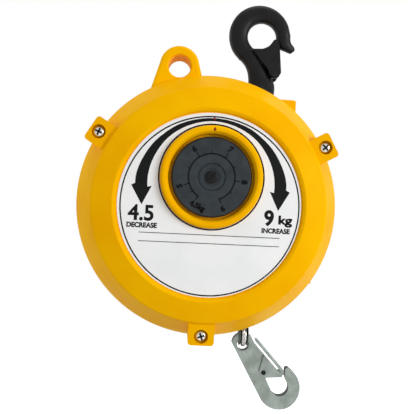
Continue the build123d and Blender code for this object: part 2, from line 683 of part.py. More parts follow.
def shaft_nut():
    """Nut that holds the shaft to the rear wall."""
    height = SHAFT_END - 0.8
    hexagon = Rot(90, 0, 0) * extrude(RegularPolygon(SHAFT_R + 2, 6, major_radius=False), height)
    nut = Pos(0, HOUSING_END_Y + height, 0) * hexagon
    return on_axis(nut - rod(SHAFT_R - 1 + 0.02, HOUSING_END_Y - 1, HOUSING_END_Y + SHAFT_END + 1))


DRUM_SEAT = (ROPE_R + ROPE_GAP) / cos(atan(TURN_STEP / TURN_PITCH))


def rope_drum():
    """Conical drum between two flanges, with the arbor of the spring in front."""
    low, high = DRUM_FRONT_Y + DRUM_FLANGE_T, DRUM_REAR_Y - DRUM_FLANGE_T
    slope = TURN_STEP / TURN_PITCH
    bore = SHAFT_R + BUSH_WALL
    web = DRUM_R0 - DRUM_WEB
    seat = DRUM_R0 - DRUM_SEAT
    body = turned(
        (bore, CAN_INNER_FRONT + SHAFT_END_GAP),
        (HUB_R, CAN_INNER_FRONT + SHAFT_END_GAP),
        (HUB_R, DRUM_FRONT_Y),
        (DRUM_FLANGE_R, DRUM_FRONT_Y),
        (DRUM_FLANGE_R, low),
        (seat + slope * low, low),
        (seat + slope * high, high),
        (DRUM_FLANGE_R, high),
        (DRUM_FLANGE_R, DRUM_REAR_Y),
        (web, DRUM_REAR_Y),
        (web, low + DRUM_FLANGE_T),
        (HUB_R, low + DRUM_FLANGE_T),
        (HUB_R, DRUM_REAR_Y),
        (bore, DRUM_REAR_Y),
    )
    body -= rod(SHAFT_R + CAN_HUB_WALL + AIR, CAN_INNER_FRONT, CAN_INNER_FRONT + CAN_HUB_L + 1)
    return on_axis(body)


def rope_winding():
    """Rope wound on the drum, drawn as one sleeve with a step for each turn."""
    half = TURN_PITCH / 2
    last = TURNS - 1
    slope = TURN_STEP / TURN_PITCH
    outline = [(DRUM_R0 - ROPE_R - slope * ROPE_R, -ROPE_R)]
    for turn in range(TURNS):
        r, y = DRUM_R0 + TURN_STEP * turn + ROPE_R, TURN_PITCH * turn
        outline.append((r, y - half if turn else -ROPE_R))
        outline.append((r, y + half if turn < last else y + ROPE_R))
    end = TURN_PITCH * last + ROPE_R
    outline.append((DRUM_R0 - ROPE_R + slope * end, end))
    return on_axis(turned(*outline))


def rope_guide():
    """Plastic guide ring pressed into the outlet."""
    ring = post(GUIDE_R, GUIDE_LOW, GUIDE_LOW + GUIDE_L) + post(GUIDE_RIM_R, GUIDE_LOW - GUIDE_RIM_T, GUIDE_LOW)
    return ring - post(GUIDE_BORE_R, GUIDE_LOW - 3, GUIDE_LOW + GUIDE_L + 1)


ROPE_JOIN = 4.0        # where the two lengths of rope meet, inside the guide


def rope_lead():
    """Rope from the drum down to the guide."""
    reach = DRUM_R0 + ROPE_R
    start = sqrt(reach ** 2 - (DRUM_R0 - ROPE_R - AIR) ** 2)
    return post(ROPE_R, GUIDE_LOW + ROPE_JOIN, AXIS_Z - start)


def rope_run():
    """Rope below the guide, which lengthens as the load is pulled down."""
    return post(ROPE_R, FERRULE_TOP, GUIDE_LOW + ROPE_JOIN)


def rope_ferrule():
    """Pressed aluminium ferrule that closes the rope's eye."""
    return post(FERRULE_R, FERRULE_BOTTOM, FERRULE_TOP)


def rope_stopper():
    """Rubber ring that the load end rests on when the rope is fully wound in."""
    ring = post(GUIDE_RIM_R, FERRULE_TOP, STOPPER_TOP)
    return ring - post(ROPE_R + 0.1, FERRULE_TOP - 1, STOPPER_TOP + 1)


LOOP_MID = EYE_Z + LOOP_R


def loop_edges(radius, top_half):
    """Teardrop line of the rope's eye, drawn in Y and Z."""
    rise = LOOP_MID + 3.5
    return [
        (-top_half, FERRULE_BOTTOM), (-radius, rise), (-radius, LOOP_MID - radius),
        (radius, LOOP_MID - radius), (radius, rise), (top_half, FERRULE_BOTTOM),
    ]


def rope_eye():
    """Rope bent round the thimble."""
    points = [(0, y, z) for y, z in loop_edges(LOOP_R, ROPE_R + 0.1)]
    path = FilletPolyline(*points, radius=[4, LOOP_R - 0.01, LOOP_R - 0.01, 4])
    profile = Plane(origin=path @ 0, z_dir=path % 0) * RegularPolygon(ROPE_R, 6)
    return sweep(profile, path)


def load_hook():
    """Zinc-plated plate hook: eye at the top, shank, bowl and tip. Stored leaning to the right."""
    bowl_d, bowl_n, bowl_r = 45.6, 10.8, 7.2
    out_d, out_n, out_r = 46.3, 10.2, 17.4
    left_top = (PLATE_LEFT, -sqrt(PLATE_TOP_R ** 2 - PLATE_LEFT ** 2))
    left_low = (PLATE_LEFT, out_d)
    crown = (PLATE_TOP_R * cos(radians(8)), -PLATE_TOP_R * sin(radians(8)))
    notch = plate_edge(5.0)
    shelf = plate_edge(28.5)
    throat = (4.0, 33.6)
    bowl_left = (bowl_n - bowl_r, bowl_d - 2)
    bowl_right = (bowl_n + bowl_r, bowl_d - 2)
    tip_low, tip_middle, tip_high = gate_sweep(39.5), gate_sweep(37.0), gate_sweep(34.8)
    tip_out = (25.2, 36.2)
    outline = [
        Line(left_low, left_top),
        ThreePointArc(left_top, (0, -PLATE_TOP_R), crown),
        Line(crown, notch),
        Line(notch, shelf),
        Line(shelf, throat),
        Line(throat, bowl_left),
        ThreePointArc(bowl_left, (bowl_n, bowl_d + bowl_r), bowl_right),
        Line(bowl_right, tip_low),
        ThreePointArc(tip_low, tip_middle, tip_high),
        ThreePointArc(tip_high, (23.4, 34.0), tip_out),
        ThreePointArc(tip_out, (out_n + out_r, out_d), (out_n, out_d + out_r)),
        ThreePointArc((out_n, out_d + out_r), (out_n - out_r * 0.72, out_d + out_r * 0.69), left_low),
    ]
    plate = plate_xz(mirror(Curve() + outline, Plane.XZ), -PLATE_T / 2, PLATE_T / 2)
    plate -= rod(EYE_R, -PLATE_T, PLATE_T)
    plate -= Pos(GATE_N, 0, -GATE_D) * rod(GATE_PIN_R, -PLATE_T, PLATE_T)
    return hang(plate)


def plate_edge(d, out=0.0):
    """Point on the plate's leaning right edge, or beside it."""
    return (9.3 + 0.2295 * (d - 5.7) + out, d)


def gate_sweep(d):
    """Point of the tip's inner side, just outside the path of the gate's end."""
    return (GATE_N + sqrt(GATE_REACH ** 2 - (d - GATE_D) ** 2), d)


def hang(shape):
    """Turn a piece drawn along the load hook's own axes into its stored place."""
    return Pos(0, 0, EYE_Z) * Rot(0, -HOOK_TILT, 0) * shape


RIVET_END = 1.1        # end of a rivet outside the sheet it holds


def gate_pin():
    """Rivet through plate and gate cheeks."""
    reach = PLATE_T / 2 + GATE_GAP + GATE_SHEET + RIVET_END
    return hang(Pos(GATE_N, 0, -GATE_D) * rod(GATE_PIN_R, -reach, reach))


def hook_gate():
    """Sheet gate: a long thumb web beside the plate, with two cheeks on the rivet."""
    inner = PLATE_T / 2 + GATE_GAP
    outer = inner + GATE_SHEET
    slit, web = 1.9, 2.5
    low_d = 36.2
    strip = [plate_edge(2.4, slit), plate_edge(1.6, slit + 0.9), plate_edge(3.2, slit + web),
             plate_edge(low_d - 2, slit + web), plate_edge(low_d, slit + web - 1.1), plate_edge(low_d, slit)]
    cheek = [(GATE_N - 3.0, GATE_D + 2.0), (GATE_N - 3.0, GATE_D - 2.4), plate_edge(15.0), plate_edge(34.0),
             plate_edge(34.4, slit + 0.8), plate_edge(low_d, slit + 0.8), (16.2, 38.4), (GATE_N - 0.4, GATE_D + 4.6)]
    gate = plate_xz(mirror(Polyline(*strip, close=True), Plane.XZ), -outer, outer)
    for y0, y1 in ((-outer, -inner), (inner, outer)):
        gate += plate_xz(mirror(Polyline(*cheek, close=True), Plane.XZ), y0, y1)
    gate -= Pos(GATE_N, 0, -GATE_D) * rod(GATE_PIN_R + RUN, -PLATE_T * 2, PLATE_T * 2)
    return hang(gate)


BUSH_BOTTOM = AXIS_Z + BLOCK_TOP - HANGER_BUSH_L
BUSH_TOP = AXIS_Z + BLOCK_TOP + HANGER_BUSH_FLANGE
NUT_TOP = BUSH_BOTTOM - THRUST_GAP - WASHER_T
PIN_Z = NUT_TOP - NUT_H - COTTER_DROP


def hanger_hook():
    """Forged top hook with its neck, collar and threaded stem."""

    def outer(angle):
        return (HOOK_OUT_X + HOOK_OUT_R * cos(radians(angle)), HOOK_OUT_Z + HOOK_OUT_R * sin(radians(angle)))

    def inner(angle):
        return (BOWL_R * cos(radians(angle)), BOWL_R * sin(radians(angle)))

    tip_top, tip_end, tip_low, tip_in = (26.6, -5.6), (28.0, -8.8), (24.4, -11.8), (14.6, -8.2)
    neck_in = (4.4, -26.6)
    outline = [
        ThreePointArc(outer(216), outer(100), outer(-6)),
        Line(outer(-6), tip_top),
        ThreePointArc(tip_top, tip_end, tip_low),
        Line(tip_low, tip_in),
        Line(tip_in, inner(-12)),
        ThreePointArc(inner(-12), inner(100), inner(-114)),
        Line(inner(-114), neck_in),
        Line(neck_in, (NECK_HALF, -36.0)),
        Line((NECK_HALF, -36.0), (NECK_HALF, NECK_BOTTOM)),
        Line((NECK_HALF, NECK_BOTTOM), (-NECK_HALF, NECK_BOTTOM)),
        Line((-NECK_HALF, NECK_BOTTOM), (-NECK_HALF, -31.0)),
        ThreePointArc((-NECK_HALF, -31.0), (-13.4, -22.2), outer(216)),
    ]
    half = HOOK_T / 2
    hook = plate_xz(Curve() + outline, -half, half)
    rims = [e for e in hook.edges() if abs(abs(e.center().Y) - half) < 0.01 and e.center().Z > NECK_BOTTOM + 1]
    hook = chamfer(rims, HOOK_EDGE)
    hook += Pos(LATCH_X, 0, LATCH_Z) * rod(LATCH_EAR_R, -half, half)
    hook -= Pos(LATCH_X, 0, LATCH_Z) * rod(LATCH_PIN_R, -half - 1, half + 1)
    collar_low = BUSH_TOP + THRUST_GAP
    hook += post(COLLAR_R, collar_low, NECK_BOTTOM + 0.5)
    hook += post(STEM_R, PIN_Z - STEM_END, collar_low + 0.5)
    return hook - Pos(0, 0, PIN_Z) * rod(COTTER_R, -STEM_R - 1, STEM_R + 1)


def hook_latch():
    """Pressed latch that closes the bowl: two cheeks astride the hook, joined along the outer edge."""
    inner = HOOK_T / 2 + LATCH_GAP
    outer = inner + LATCH_SHEET
    arc_r = BOWL_R + LATCH_ROOM

    def arc(angle):
        return (arc_r * cos(radians(angle)), arc_r * sin(radians(angle)))

    heel, heel_out = (16.8, -28.4), (14.8, -33.6)
    shoulder = (13.7, -9.0)
    cheek = Curve() + [
        ThreePointArc(arc(-112), arc(-60), arc(-18)),
        Line(arc(-18), shoulder),
        Line(shoulder, heel),
        ThreePointArc(heel, (16.6, -31.2), heel_out),
        ThreePointArc(heel_out, (11.0, -36.0), (6.6, -34.2)),
        Line((6.6, -34.2), arc(-112)),
    ]
    web = [arc(-18), shoulder, heel, (heel[0] - LATCH_SHEET, heel[1]), (shoulder[0] - LATCH_SHEET, shoulder[1]),
           arc(-24)]
    latch = plate_xz(Polyline(*web, close=True), -outer, outer)
    for y0, y1 in ((-outer, -inner), (inner, outer)):
        latch += plate_xz(cheek, y0, y1)
    return latch - Pos(LATCH_X, 0, LATCH_Z) * rod(LATCH_PIN_R + RUN, -20, 20)


def latch_pin():
    """Rivet that carries the latch on the hook's ear."""
    reach = HOOK_T / 2 + LATCH_GAP + LATCH_SHEET + RIVET_END
    return Pos(LATCH_X, 0, LATCH_Z) * rod(LATCH_PIN_R, -reach, reach)


def hanger_bush():
    """Flanged bush in the hanger block."""
    sleeve = post(STEM_R + HANGER_BUSH_WALL, BUSH_BOTTOM, BUSH_TOP - 0.5)
    flange = post(COLLAR_R + 0.7, AXIS_Z + BLOCK_TOP, BUSH_TOP)
    return sleeve + flange - post(STEM_R + RUN, BUSH_BOTTOM - 1, BUSH_TOP + 1)


def hanger_washer():
    """Thrust washer between bush and nut."""
    return post(STEM_R + 4.5, NUT_TOP, NUT_TOP + WASHER_T) - post(STEM_R + SLIP, NUT_TOP - 1, BUSH_BOTTOM)


def hanger_nut():
    """Hexagon nut on the hook's stem."""
    nut = Pos(0, 0, NUT_TOP - NUT_H) * extrude(RegularPolygon(NUT_AF / 2, 6, major_radius=False), NUT_H)
    return nut - post(STEM_R + 0.02, NUT_TOP - NUT_H - 1, NUT_TOP + 1)


def split_pin():
    """Split pin through the stem below the nut."""
    pin = rod(COTTER_R - 0.05, -STEM_R - 1.2, STEM_R + 2.6)
    eye = Pos(0, -STEM_R - 1.9, 0) * Rot(0, 90, 0) * Cylinder(1.7, 1.6)
    return Pos(0, 0, PIN_Z) * (pin + eye)


def rope_thimble():
    """Round thimble between the rope's eye and the hook's plate."""
    outer = LOOP_R - ROPE_R
    ring = Rot(0, 90, 0) * (Cylinder(outer, 2 * THIMBLE_HALF) - Cylinder(outer - THIMBLE_WALL, 3 * THIMBLE_HALF))
    return Pos(0, 0, LOOP_MID) * ring


def drum_bush():
    """Long bush pressed into the drum's hub."""
    return on_axis(bush(SHAFT_R + RUN, BUSH_WALL - RUN, CAN_INNER_FRONT + CAN_HUB_L + 2, DRUM_REAR_Y))


parts = {
    "front_cover": front_cover(),
    "rear_case": rear_case(),
    "case_screws": case_screws(),
    "label_plate": label_plate(),
    "load_dial": load_dial(),
    "dial_screw": dial_screw(),
    "dial_gear": dial_gear(),
    "dial_pinion": dial_pinion(),
    "spring_case": spring_case(),
    "spring_lid": spring_lid(),
    "power_spring": power_spring(),
    "worm_wheel": worm_wheel(),
    "worm": worm(),
    "worm_bushes": worm_bushes(),
    "main_shaft": main_shaft(),
    "shaft_nut": shaft_nut(),
    "rope_drum": rope_drum(),
    "rope_winding": rope_winding(),
    "rope_guide": rope_guide(),
    "rope_lead": rope_lead(),
    "rope_run": rope_run(),
    "rope_ferrule": rope_ferrule(),
    "rope_stopper": rope_stopper(),
    "rope_eye": rope_eye(),
    "rope_thimble": rope_thimble(),
    "load_hook": load_hook(),
    "gate_pin": gate_pin(),
    "hook_gate": hook_gate(),
    "hanger_hook": hanger_hook(),
    "hook_latch": hook_latch(),
    "latch_pin": latch_pin(),
    "hanger_bush": hanger_bush(),
    "hanger_washer": hanger_washer(),
    "hanger_nut": hanger_nut(),
    "split_pin": split_pin(),
    "drum_bush": drum_bush(),
}

os.makedirs("parts", exist_ok=True)
for name, shape in parts.items():
    export_step(shape, f"parts/{name}.step")
    print(name, len(shape.solids()), round(sum(s.volume for s in shape.solids()), 1))
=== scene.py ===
# %% [markdown]
# # Spring tool balancer
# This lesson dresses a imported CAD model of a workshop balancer: a yellow die-cast case that hangs on a
# forged hook, with a load dial, a printed label, a wire rope and a plate hook. Some pieces keep their CAD
# mesh and only get a finish. Others are rebuilt here with the small radii that catch the light.

# %% Load the frame
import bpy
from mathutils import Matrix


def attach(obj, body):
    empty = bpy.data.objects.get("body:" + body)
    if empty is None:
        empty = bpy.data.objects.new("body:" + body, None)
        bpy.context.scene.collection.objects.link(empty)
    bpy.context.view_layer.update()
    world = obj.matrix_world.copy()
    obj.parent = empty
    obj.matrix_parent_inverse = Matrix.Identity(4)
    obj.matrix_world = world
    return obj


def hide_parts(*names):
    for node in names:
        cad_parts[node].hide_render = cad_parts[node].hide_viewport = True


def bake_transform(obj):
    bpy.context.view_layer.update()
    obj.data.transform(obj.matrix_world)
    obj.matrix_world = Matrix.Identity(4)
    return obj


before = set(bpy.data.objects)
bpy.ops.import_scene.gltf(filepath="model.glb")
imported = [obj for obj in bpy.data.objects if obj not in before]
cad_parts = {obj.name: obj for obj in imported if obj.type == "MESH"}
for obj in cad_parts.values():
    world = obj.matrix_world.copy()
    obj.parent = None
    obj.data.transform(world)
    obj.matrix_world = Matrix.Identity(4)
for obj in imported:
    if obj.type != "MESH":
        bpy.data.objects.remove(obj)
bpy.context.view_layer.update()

# %% [markdown]
# Blender measures in metres and the drawing of the balancer is in millimetres, so one factor does the
# change. Colours are picked as hex values, as a paint card gives them, and the shader wants them linear.

# %% Units and colours
import math
import bmesh
import bpy
from mathutils import Matrix, Vector

MM = 0.001
SHARP = math.radians(32)


def colour(hex_value):
    """Linear RGBA of an sRGB hex value."""
    parts = [int(hex_value[i:i + 2], 16) / 255 for i in (1, 3, 5)]
    return [c / 12.92 if c <= 0.04045 else ((c + 0.055) / 1.055) ** 2.4 for c in parts] + [1.0]


print("case yellow", [round(c, 3) for c in colour("#F8B400")])

# %% [markdown]
# ## Finishes
# A material in Blender is a graph of nodes. The principled shader at its end stands for almost any real
# surface, and the nodes before it vary its colour, roughness and bump from place to place. One helper
# adds a node, sets its fields and links its inputs, which keeps each finish short to read.

# %% A helper for node graphs
def add(tree, kind, inputs=None, **fields):
    """Add a node, set its fields, then fill or link its inputs."""
    node = tree.nodes.new(kind)
    for name, value in fields.items():
        setattr(node, name, value)
    for key, value in (inputs or {}).items():
        if isinstance(value, bpy.types.NodeSocket):
            tree.links.new(value, node.inputs[key])
        else:
            node.inputs[key].default_value = value
    return node


def finish(name, base, roughness, metallic=0.0, ior=None, gloss=0.5):
    """A new material with a principled shader whose plain values are set on its own sockets."""
    material = bpy.data.materials.new(name)
    material.use_nodes = True
    shader = material.node_tree.nodes["Principled BSDF"]
    shader.inputs["Base Color"].default_value = colour(base)
    shader.inputs["Roughness"].default_value = roughness
    shader.inputs["Metallic"].default_value = metallic
    shader.inputs["Specular IOR Level"].default_value = gloss
    if ior is not None:
        shader.inputs["IOR"].default_value = ior
    return material, material.node_tree, shader


def mottle(tree, shader, base, second, size_mm, detail=3.0, low=0.35, high=0.65):
    """Drift the colour between two tones over patches of a real size."""
    place = add(tree, "ShaderNodeTexCoord").outputs["Object"]
    noise = add(tree, "ShaderNodeTexNoise", {"Vector": place, "Scale": 1 / (size_mm * MM), "Detail": detail})
    ramp = add(tree, "ShaderNodeValToRGB", {"Fac": noise.outputs["Fac"]})
    ramp.color_ramp.elements[0].position, ramp.color_ramp.elements[1].position = low, high
    ramp.color_ramp.elements[0].color, ramp.color_ramp.elements[1].color = colour(base), colour(second)
    tree.links.new(ramp.outputs["Color"], shader.inputs["Base Color"])
    return place


def drift_roughness(tree, shader, place, size_mm, low, high):
    """Drift the roughness over patches of a real size, as handling and casting skin do."""
    noise = add(tree, "ShaderNodeTexNoise", {"Vector": place, "Scale": 1 / (size_mm * MM), "Detail": 4.0})
    span = add(tree, "ShaderNodeMapRange", {"Value": noise.outputs["Fac"], "From Min": 0.3, "From Max": 0.7,
                                            "To Min": low, "To Max": high})
    tree.links.new(span.outputs["Result"], shader.inputs["Roughness"])


def grain(tree, shader, place, size_mm, height_mm, strength):
    """Fine bumps of a real size and height."""
    noise = add(tree, "ShaderNodeTexNoise", {"Vector": place, "Scale": 1 / (size_mm * MM), "Detail": 2.0})
    bump = add(tree, "ShaderNodeBump",
               {"Height": noise.outputs["Fac"], "Distance": height_mm * MM, "Strength": strength})
    tree.links.new(bump.outputs["Normal"], shader.inputs["Normal"])


# %% [markdown]
# **Enamel on die-cast aluminium.** The case is cast, then sprayed with a glossy two-pack enamel. Paint is
# not a metal, so metallic stays 0. The film levels out but keeps a faint orange peel of about 2 mm, and
# its gloss drifts a little over the casting. The white studio would wash a deep yellow out, so the
# reflection is held low, and the ridges keep only a soft highlight.

# %% Yellow enamel
yellow_enamel, tree, shader = finish("yellow_enamel_on_cast_aluminium", "#FCB800", 0.42, ior=1.5, gloss=0.012)
place = mottle(tree, shader, "#F9B300", "#FEBE00", 38)
drift_roughness(tree, shader, place, 30, 0.36, 0.48)
grain(tree, shader, place, 2.2, 0.03, 0.3)

# %% [markdown]
# **Printed film.** The label is a white polyester film, screen printed from the front. It is smoother than
# the paint but not glossy. The ink is a separate skin of matt black, 0.05 mm thick.

# %% Label film and inks
label_white, tree, shader = finish("white_polyester_film", "#F4F6F6", 0.38, ior=1.57)
place = mottle(tree, shader, "#F1F3F3", "#F7F8F8", 25)
drift_roughness(tree, shader, place, 20, 0.33, 0.43)

ink_black, tree, shader = finish("black_screen_ink", "#0B0C0D", 0.55, ior=1.5, gloss=0.12)
place = mottle(tree, shader, "#090A0B", "#0E1011", 6)
grain(tree, shader, place, 0.6, 0.01, 0.2)

paint_red, tree, shader = finish("red_index_paint", "#8A1410", 0.5, ior=1.5, gloss=0.2)
mottle(tree, shader, "#82120D", "#921813", 1.0)

# %% [markdown]
# **Moulded plastics.** The dial is a slate-grey ABS moulding with a fine spark-eroded grain of about
# 0.25 mm, drawn at 0.5 mm so that it shows. The printed scale on it is black pad ink. The stopper is rubber.

# %% Plastics and rubber
dial_abs, tree, shader = finish("slate_grey_abs", "#2B3236", 0.42, ior=1.53, gloss=0.2)
place = mottle(tree, shader, "#262C30", "#30373C", 8)
grain(tree, shader, place, 0.5, 0.02, 0.35)

dial_ink, tree, shader = finish("black_pad_ink_on_dial", "#050607", 0.55, ior=1.5, gloss=0.1)
mottle(tree, shader, "#040506", "#08090B", 3)

gear_acetal, tree, shader = finish("white_acetal", "#DCD8CC", 0.35, ior=1.48)
mottle(tree, shader, "#D8D4C8", "#E0DCD1", 6)

guide_nylon, tree, shader = finish("black_nylon", "#17181A", 0.45, ior=1.53, gloss=0.3)
place = mottle(tree, shader, "#151618", "#1C1D1F", 4)
grain(tree, shader, place, 0.5, 0.02, 0.3)

stopper_rubber, tree, shader = finish("black_moulded_rubber", "#151515", 0.7, ior=1.52, gloss=0.3)
place = mottle(tree, shader, "#131313", "#1A1A19", 3)
grain(tree, shader, place, 0.7, 0.03, 0.4)

# %% [markdown]
# **Steels.** The top hook is forged and dipped in black oxide and lacquer: a dark skin, slightly uneven
# from the forging die. The load hook is blanked from plate and zinc plated, which is a pale metal with a
# faint green-grey cast and soft patches of gloss. Its sides are as the punch tore them, rougher, and their
# darker tone is painted shade.
# The case screws are nickel plated and much brighter.

# %% Steels
forged_black, tree, shader = finish("black_oxide_on_forged_steel", "#0E0E0F", 0.42, ior=1.5, gloss=0.16)
place = mottle(tree, shader, "#0B0B0C", "#141416", 7)
drift_roughness(tree, shader, place, 5, 0.34, 0.52)
grain(tree, shader, place, 1.4, 0.06, 0.45)

zinc_plate, tree, shader = finish("zinc_plated_steel", "#868F89", 0.36, metallic=1.0)
place = mottle(tree, shader, "#7C857F", "#929B95", 9, detail=5.0)
drift_roughness(tree, shader, place, 6, 0.30, 0.46)
grain(tree, shader, place, 0.8, 0.02, 0.3)

# Rougher zinc for the torn sides and the thimble; its darker tone is painted shade.
zinc_with_painted_shade, tree, shader = finish("zinc_darkened_with_painted_shade", "#4E544F", 0.55, metallic=1.0)
place = mottle(tree, shader, "#40453F", "#5E655F", 3)
grain(tree, shader, place, 0.7, 0.05, 0.5)

nickel_plate, tree, shader = finish("nickel_plated_steel", "#C9C7C2", 0.18, metallic=1.0)
place = mottle(tree, shader, "#C2C0BB", "#D0CEC9", 2)
drift_roughness(tree, shader, place, 2, 0.14, 0.24)

turned_steel, tree, shader = finish("turned_bright_steel", "#9C9B98", 0.3, metallic=1.0)
place = mottle(tree, shader, "#94938F", "#A4A3A0", 5)
drift_roughness(tree, shader, place, 3, 0.24, 0.36)

spring_blue, tree, shader = finish("blued_spring_strip", "#4A5058", 0.3, metallic=1.0)
mottle(tree, shader, "#434951", "#545B64", 5)

cast_alloy, tree, shader = finish("as_cast_aluminium", "#B4B5B5", 0.45, metallic=1.0)
place = mottle(tree, shader, "#A9AAAA", "#BEBFBF", 7)
grain(tree, shader, place, 1.0, 0.03, 0.3)

bush_bronze, tree, shader = finish("sintered_bronze", "#A9743C", 0.4, metallic=1.0)
place = mottle(tree, shader, "#9E6C37", "#B57D42", 3)
grain(tree, shader, place, 0.5, 0.02, 0.3)

rope_steel, tree, shader = finish("stranded_rope_steel", "#B9B9B4", 0.3, metallic=1.0)
place = mottle(tree, shader, "#A9A9A4", "#C6C6C2", 1.5)
drift_roughness(tree, shader, place, 1, 0.24, 0.4)
print("materials", len(bpy.data.materials))

# %% [markdown]
# ## Finishes for the CAD nodes
# Every node keeps its mesh and gets the finish of its real material. The pieces that are rebuilt below
# hide theirs later.

# %% Hand out the finishes
node_finish = {
    yellow_enamel: ["front_cover", "rear_case"],
    label_white: ["label_plate"],
    dial_abs: ["load_dial"],
    gear_acetal: ["dial_gear", "dial_pinion"],
    guide_nylon: ["rope_guide"],
    stopper_rubber: ["rope_stopper"],
    forged_black: ["hanger_hook", "hook_latch", "latch_pin", "gate_pin", "dial_screw"],
    zinc_plate: ["hanger_washer", "hanger_nut", "split_pin", "shaft_nut", "load_hook", "hook_gate",
                 "rope_thimble"],
    nickel_plate: ["case_screws"],
    turned_steel: ["main_shaft", "spring_case", "spring_lid", "worm"],
    spring_blue: ["power_spring"],
    cast_alloy: ["rope_drum", "worm_wheel", "rope_ferrule"],
    bush_bronze: ["worm_bushes", "hanger_bush", "drum_bush"],
    rope_steel: ["rope_lead", "rope_run", "rope_winding", "rope_eye"],
}
for material, names in node_finish.items():
    for name in names:
        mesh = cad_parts[name].data
        mesh.materials.clear()
        mesh.materials.append(material)
covered = sorted(n for names in node_finish.values() for n in names)
print("nodes without a finish", sorted(set(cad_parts) - set(covered)))

# %% [markdown]
# ## Mesh helpers
# Three ways of making a mesh do nearly all of this object. A turned piece is a profile spun about an
# axis, with its corners rounded first. A plate is a flat outline with holes, given thickness. A swept
# piece is a row of cross-sections joined into a skin.

# %% Rounded corners and arcs
def arc(cx, cy, r, start, end, steps=24):
    """Points on an arc, angles in degrees, anticlockwise where end is larger."""
    turn = [math.radians(start + (end - start) * i / steps) for i in range(steps + 1)]
    return [(cx + r * math.cos(a), cy + r * math.sin(a)) for a in turn]


def circle(cx, cy, r, count):
    """Points round a whole circle."""
    return arc(cx, cy, r, 0, 360 - 360 / count, count - 1)


def rounded(corners, steps=6, closed=False):
    """Replace each (x, y, radius) corner of a path by a tangent arc."""
    count = len(corners)
    points = []
    for i, (x, y, r) in enumerate(corners):
        if r <= 0 or (not closed and i in (0, count - 1)):
            points.append((x, y))
            continue
        here = Vector((x, y))
        before = Vector(corners[i - 1][:2]) - here
        after = Vector(corners[(i + 1) % count][:2]) - here
        half = before.angle(after) / 2
        reach = min(r / math.tan(half), 0.48 * before.length, 0.48 * after.length)
        radius = reach * math.tan(half)
        centre = here + (before.normalized() + after.normalized()).normalized() * (radius / math.sin(half))
        a = here + before.normalized() * reach - centre
        b = here + after.normalized() * reach - centre
        sweep = a.angle_signed(b)
        for k in range(steps + 1):
            t = -sweep * k / steps
            points.append((centre.x + a.x * math.cos(t) - a.y * math.sin(t),
                           centre.y + a.x * math.sin(t) + a.y * math.cos(t)))
    return points


def new_object(name, data):
    """An object of a mesh, lamp, camera or text, linked into the scene."""
    made = bpy.data.objects.new(name, data)
    bpy.context.scene.collection.objects.link(made)
    return made


def dress(name, data, material, body, smooth=True):
    """Make an object of a mesh, give it a finish and let it ride on a body."""
    bm = bmesh.new()
    bm.from_mesh(data)
    bmesh.ops.remove_doubles(bm, verts=bm.verts, dist=1e-7)
    bmesh.ops.recalc_face_normals(bm, faces=bm.faces)
    bm.to_mesh(data)
    bm.free()
    piece = new_object(name, data)
    data.materials.append(material)
    if smooth:
        data.shade_smooth()
        data.set_sharp_from_angle(angle=SHARP)
    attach(piece, body)
    return piece


# %% Turned pieces, plates and sweeps
CASE_X, CASE_Z = -37.5, -141.0


def spin(profile, x=CASE_X, z=CASE_Z, steps=160):
    """Vertices and faces of a closed (radius, y) profile spun about an axis along Y."""
    verts, faces = [], []
    for i in range(steps):
        a = 2 * math.pi * i / steps
        verts += [((x + r * math.cos(a)) * MM, y * MM, (z + r * math.sin(a)) * MM) for r, y in profile]
    n = len(profile)
    for i in range(steps):
        for k in range(n):
            j, m = (i + 1) % steps, (k + 1) % n
            faces.append((i * n + k, i * n + m, j * n + m, j * n + k))
    return verts, faces


def turned_piece(name, profile, material, body, x=CASE_X, z=CASE_Z, steps=160):
    """A piece spun from a profile; points on the axis close it."""
    verts, faces = spin(profile, x, z, steps)
    data = bpy.data.meshes.new(name)
    data.from_pydata(verts, [], faces)
    return dress(name, data, material, body)


def plate_mesh(name, outline, holes, y0, y1, place=None):
    """Mesh of a flat outline in X and Z, with holes, between two depths."""
    bm = bmesh.new()
    for loop in [outline] + holes:
        ring = [bm.verts.new((x * MM, y0 * MM, z * MM)) for x, z in loop]
        for i, v in enumerate(ring):
            bm.edges.new((v, ring[(i + 1) % len(ring)]))
    bmesh.ops.triangle_fill(bm, use_beauty=True, use_dissolve=False, edges=bm.edges[:])
    faces = bm.faces[:]
    grown = bmesh.ops.extrude_face_region(bm, geom=faces)
    moved = [g for g in grown["geom"] if isinstance(g, bmesh.types.BMVert)]
    bmesh.ops.translate(bm, verts=moved, vec=(0, (y1 - y0) * MM, 0))
    if place is not None:
        bmesh.ops.transform(bm, matrix=place, verts=bm.verts)
    data = bpy.data.meshes.new(name)
    bm.to_mesh(data)
    bm.free()
    return data


def round_edges(piece, width, segments, turn, clamp):
    """Round every edge of a piece that turns by more than an angle."""
    bevel = piece.modifiers.new("edge_radius", "BEVEL")
    bevel.width, bevel.segments, bevel.limit_method = width * MM, segments, "ANGLE"
    bevel.angle_limit = math.radians(turn)
    bevel.use_clamp_overlap = clamp


def plate_piece(name, outline, holes, y0, y1, material, body, edge, place=None, segments=3):
    """A plate with broken or rounded edges."""
    piece = dress(name, plate_mesh(name, outline, holes, y0, y1, place), material, body)
    round_edges(piece, edge, segments, turn=40, clamp=True)
    return piece


def skin(sections):
    """Vertices and faces of a row of closed sections with equal counts, closed at both ends."""
    n = len(sections[0])
    verts = [tuple(c * MM for c in p) for section in sections for p in section]
    faces = []
    for i in range(len(sections) - 1):
        for k in range(n):
            m = (k + 1) % n
            faces.append((i * n + k, i * n + m, (i + 1) * n + m, (i + 1) * n + k))
    faces.append(tuple(range(n)))
    faces.append(tuple((len(sections) - 1) * n + k for k in reversed(range(n))))
    return verts, faces


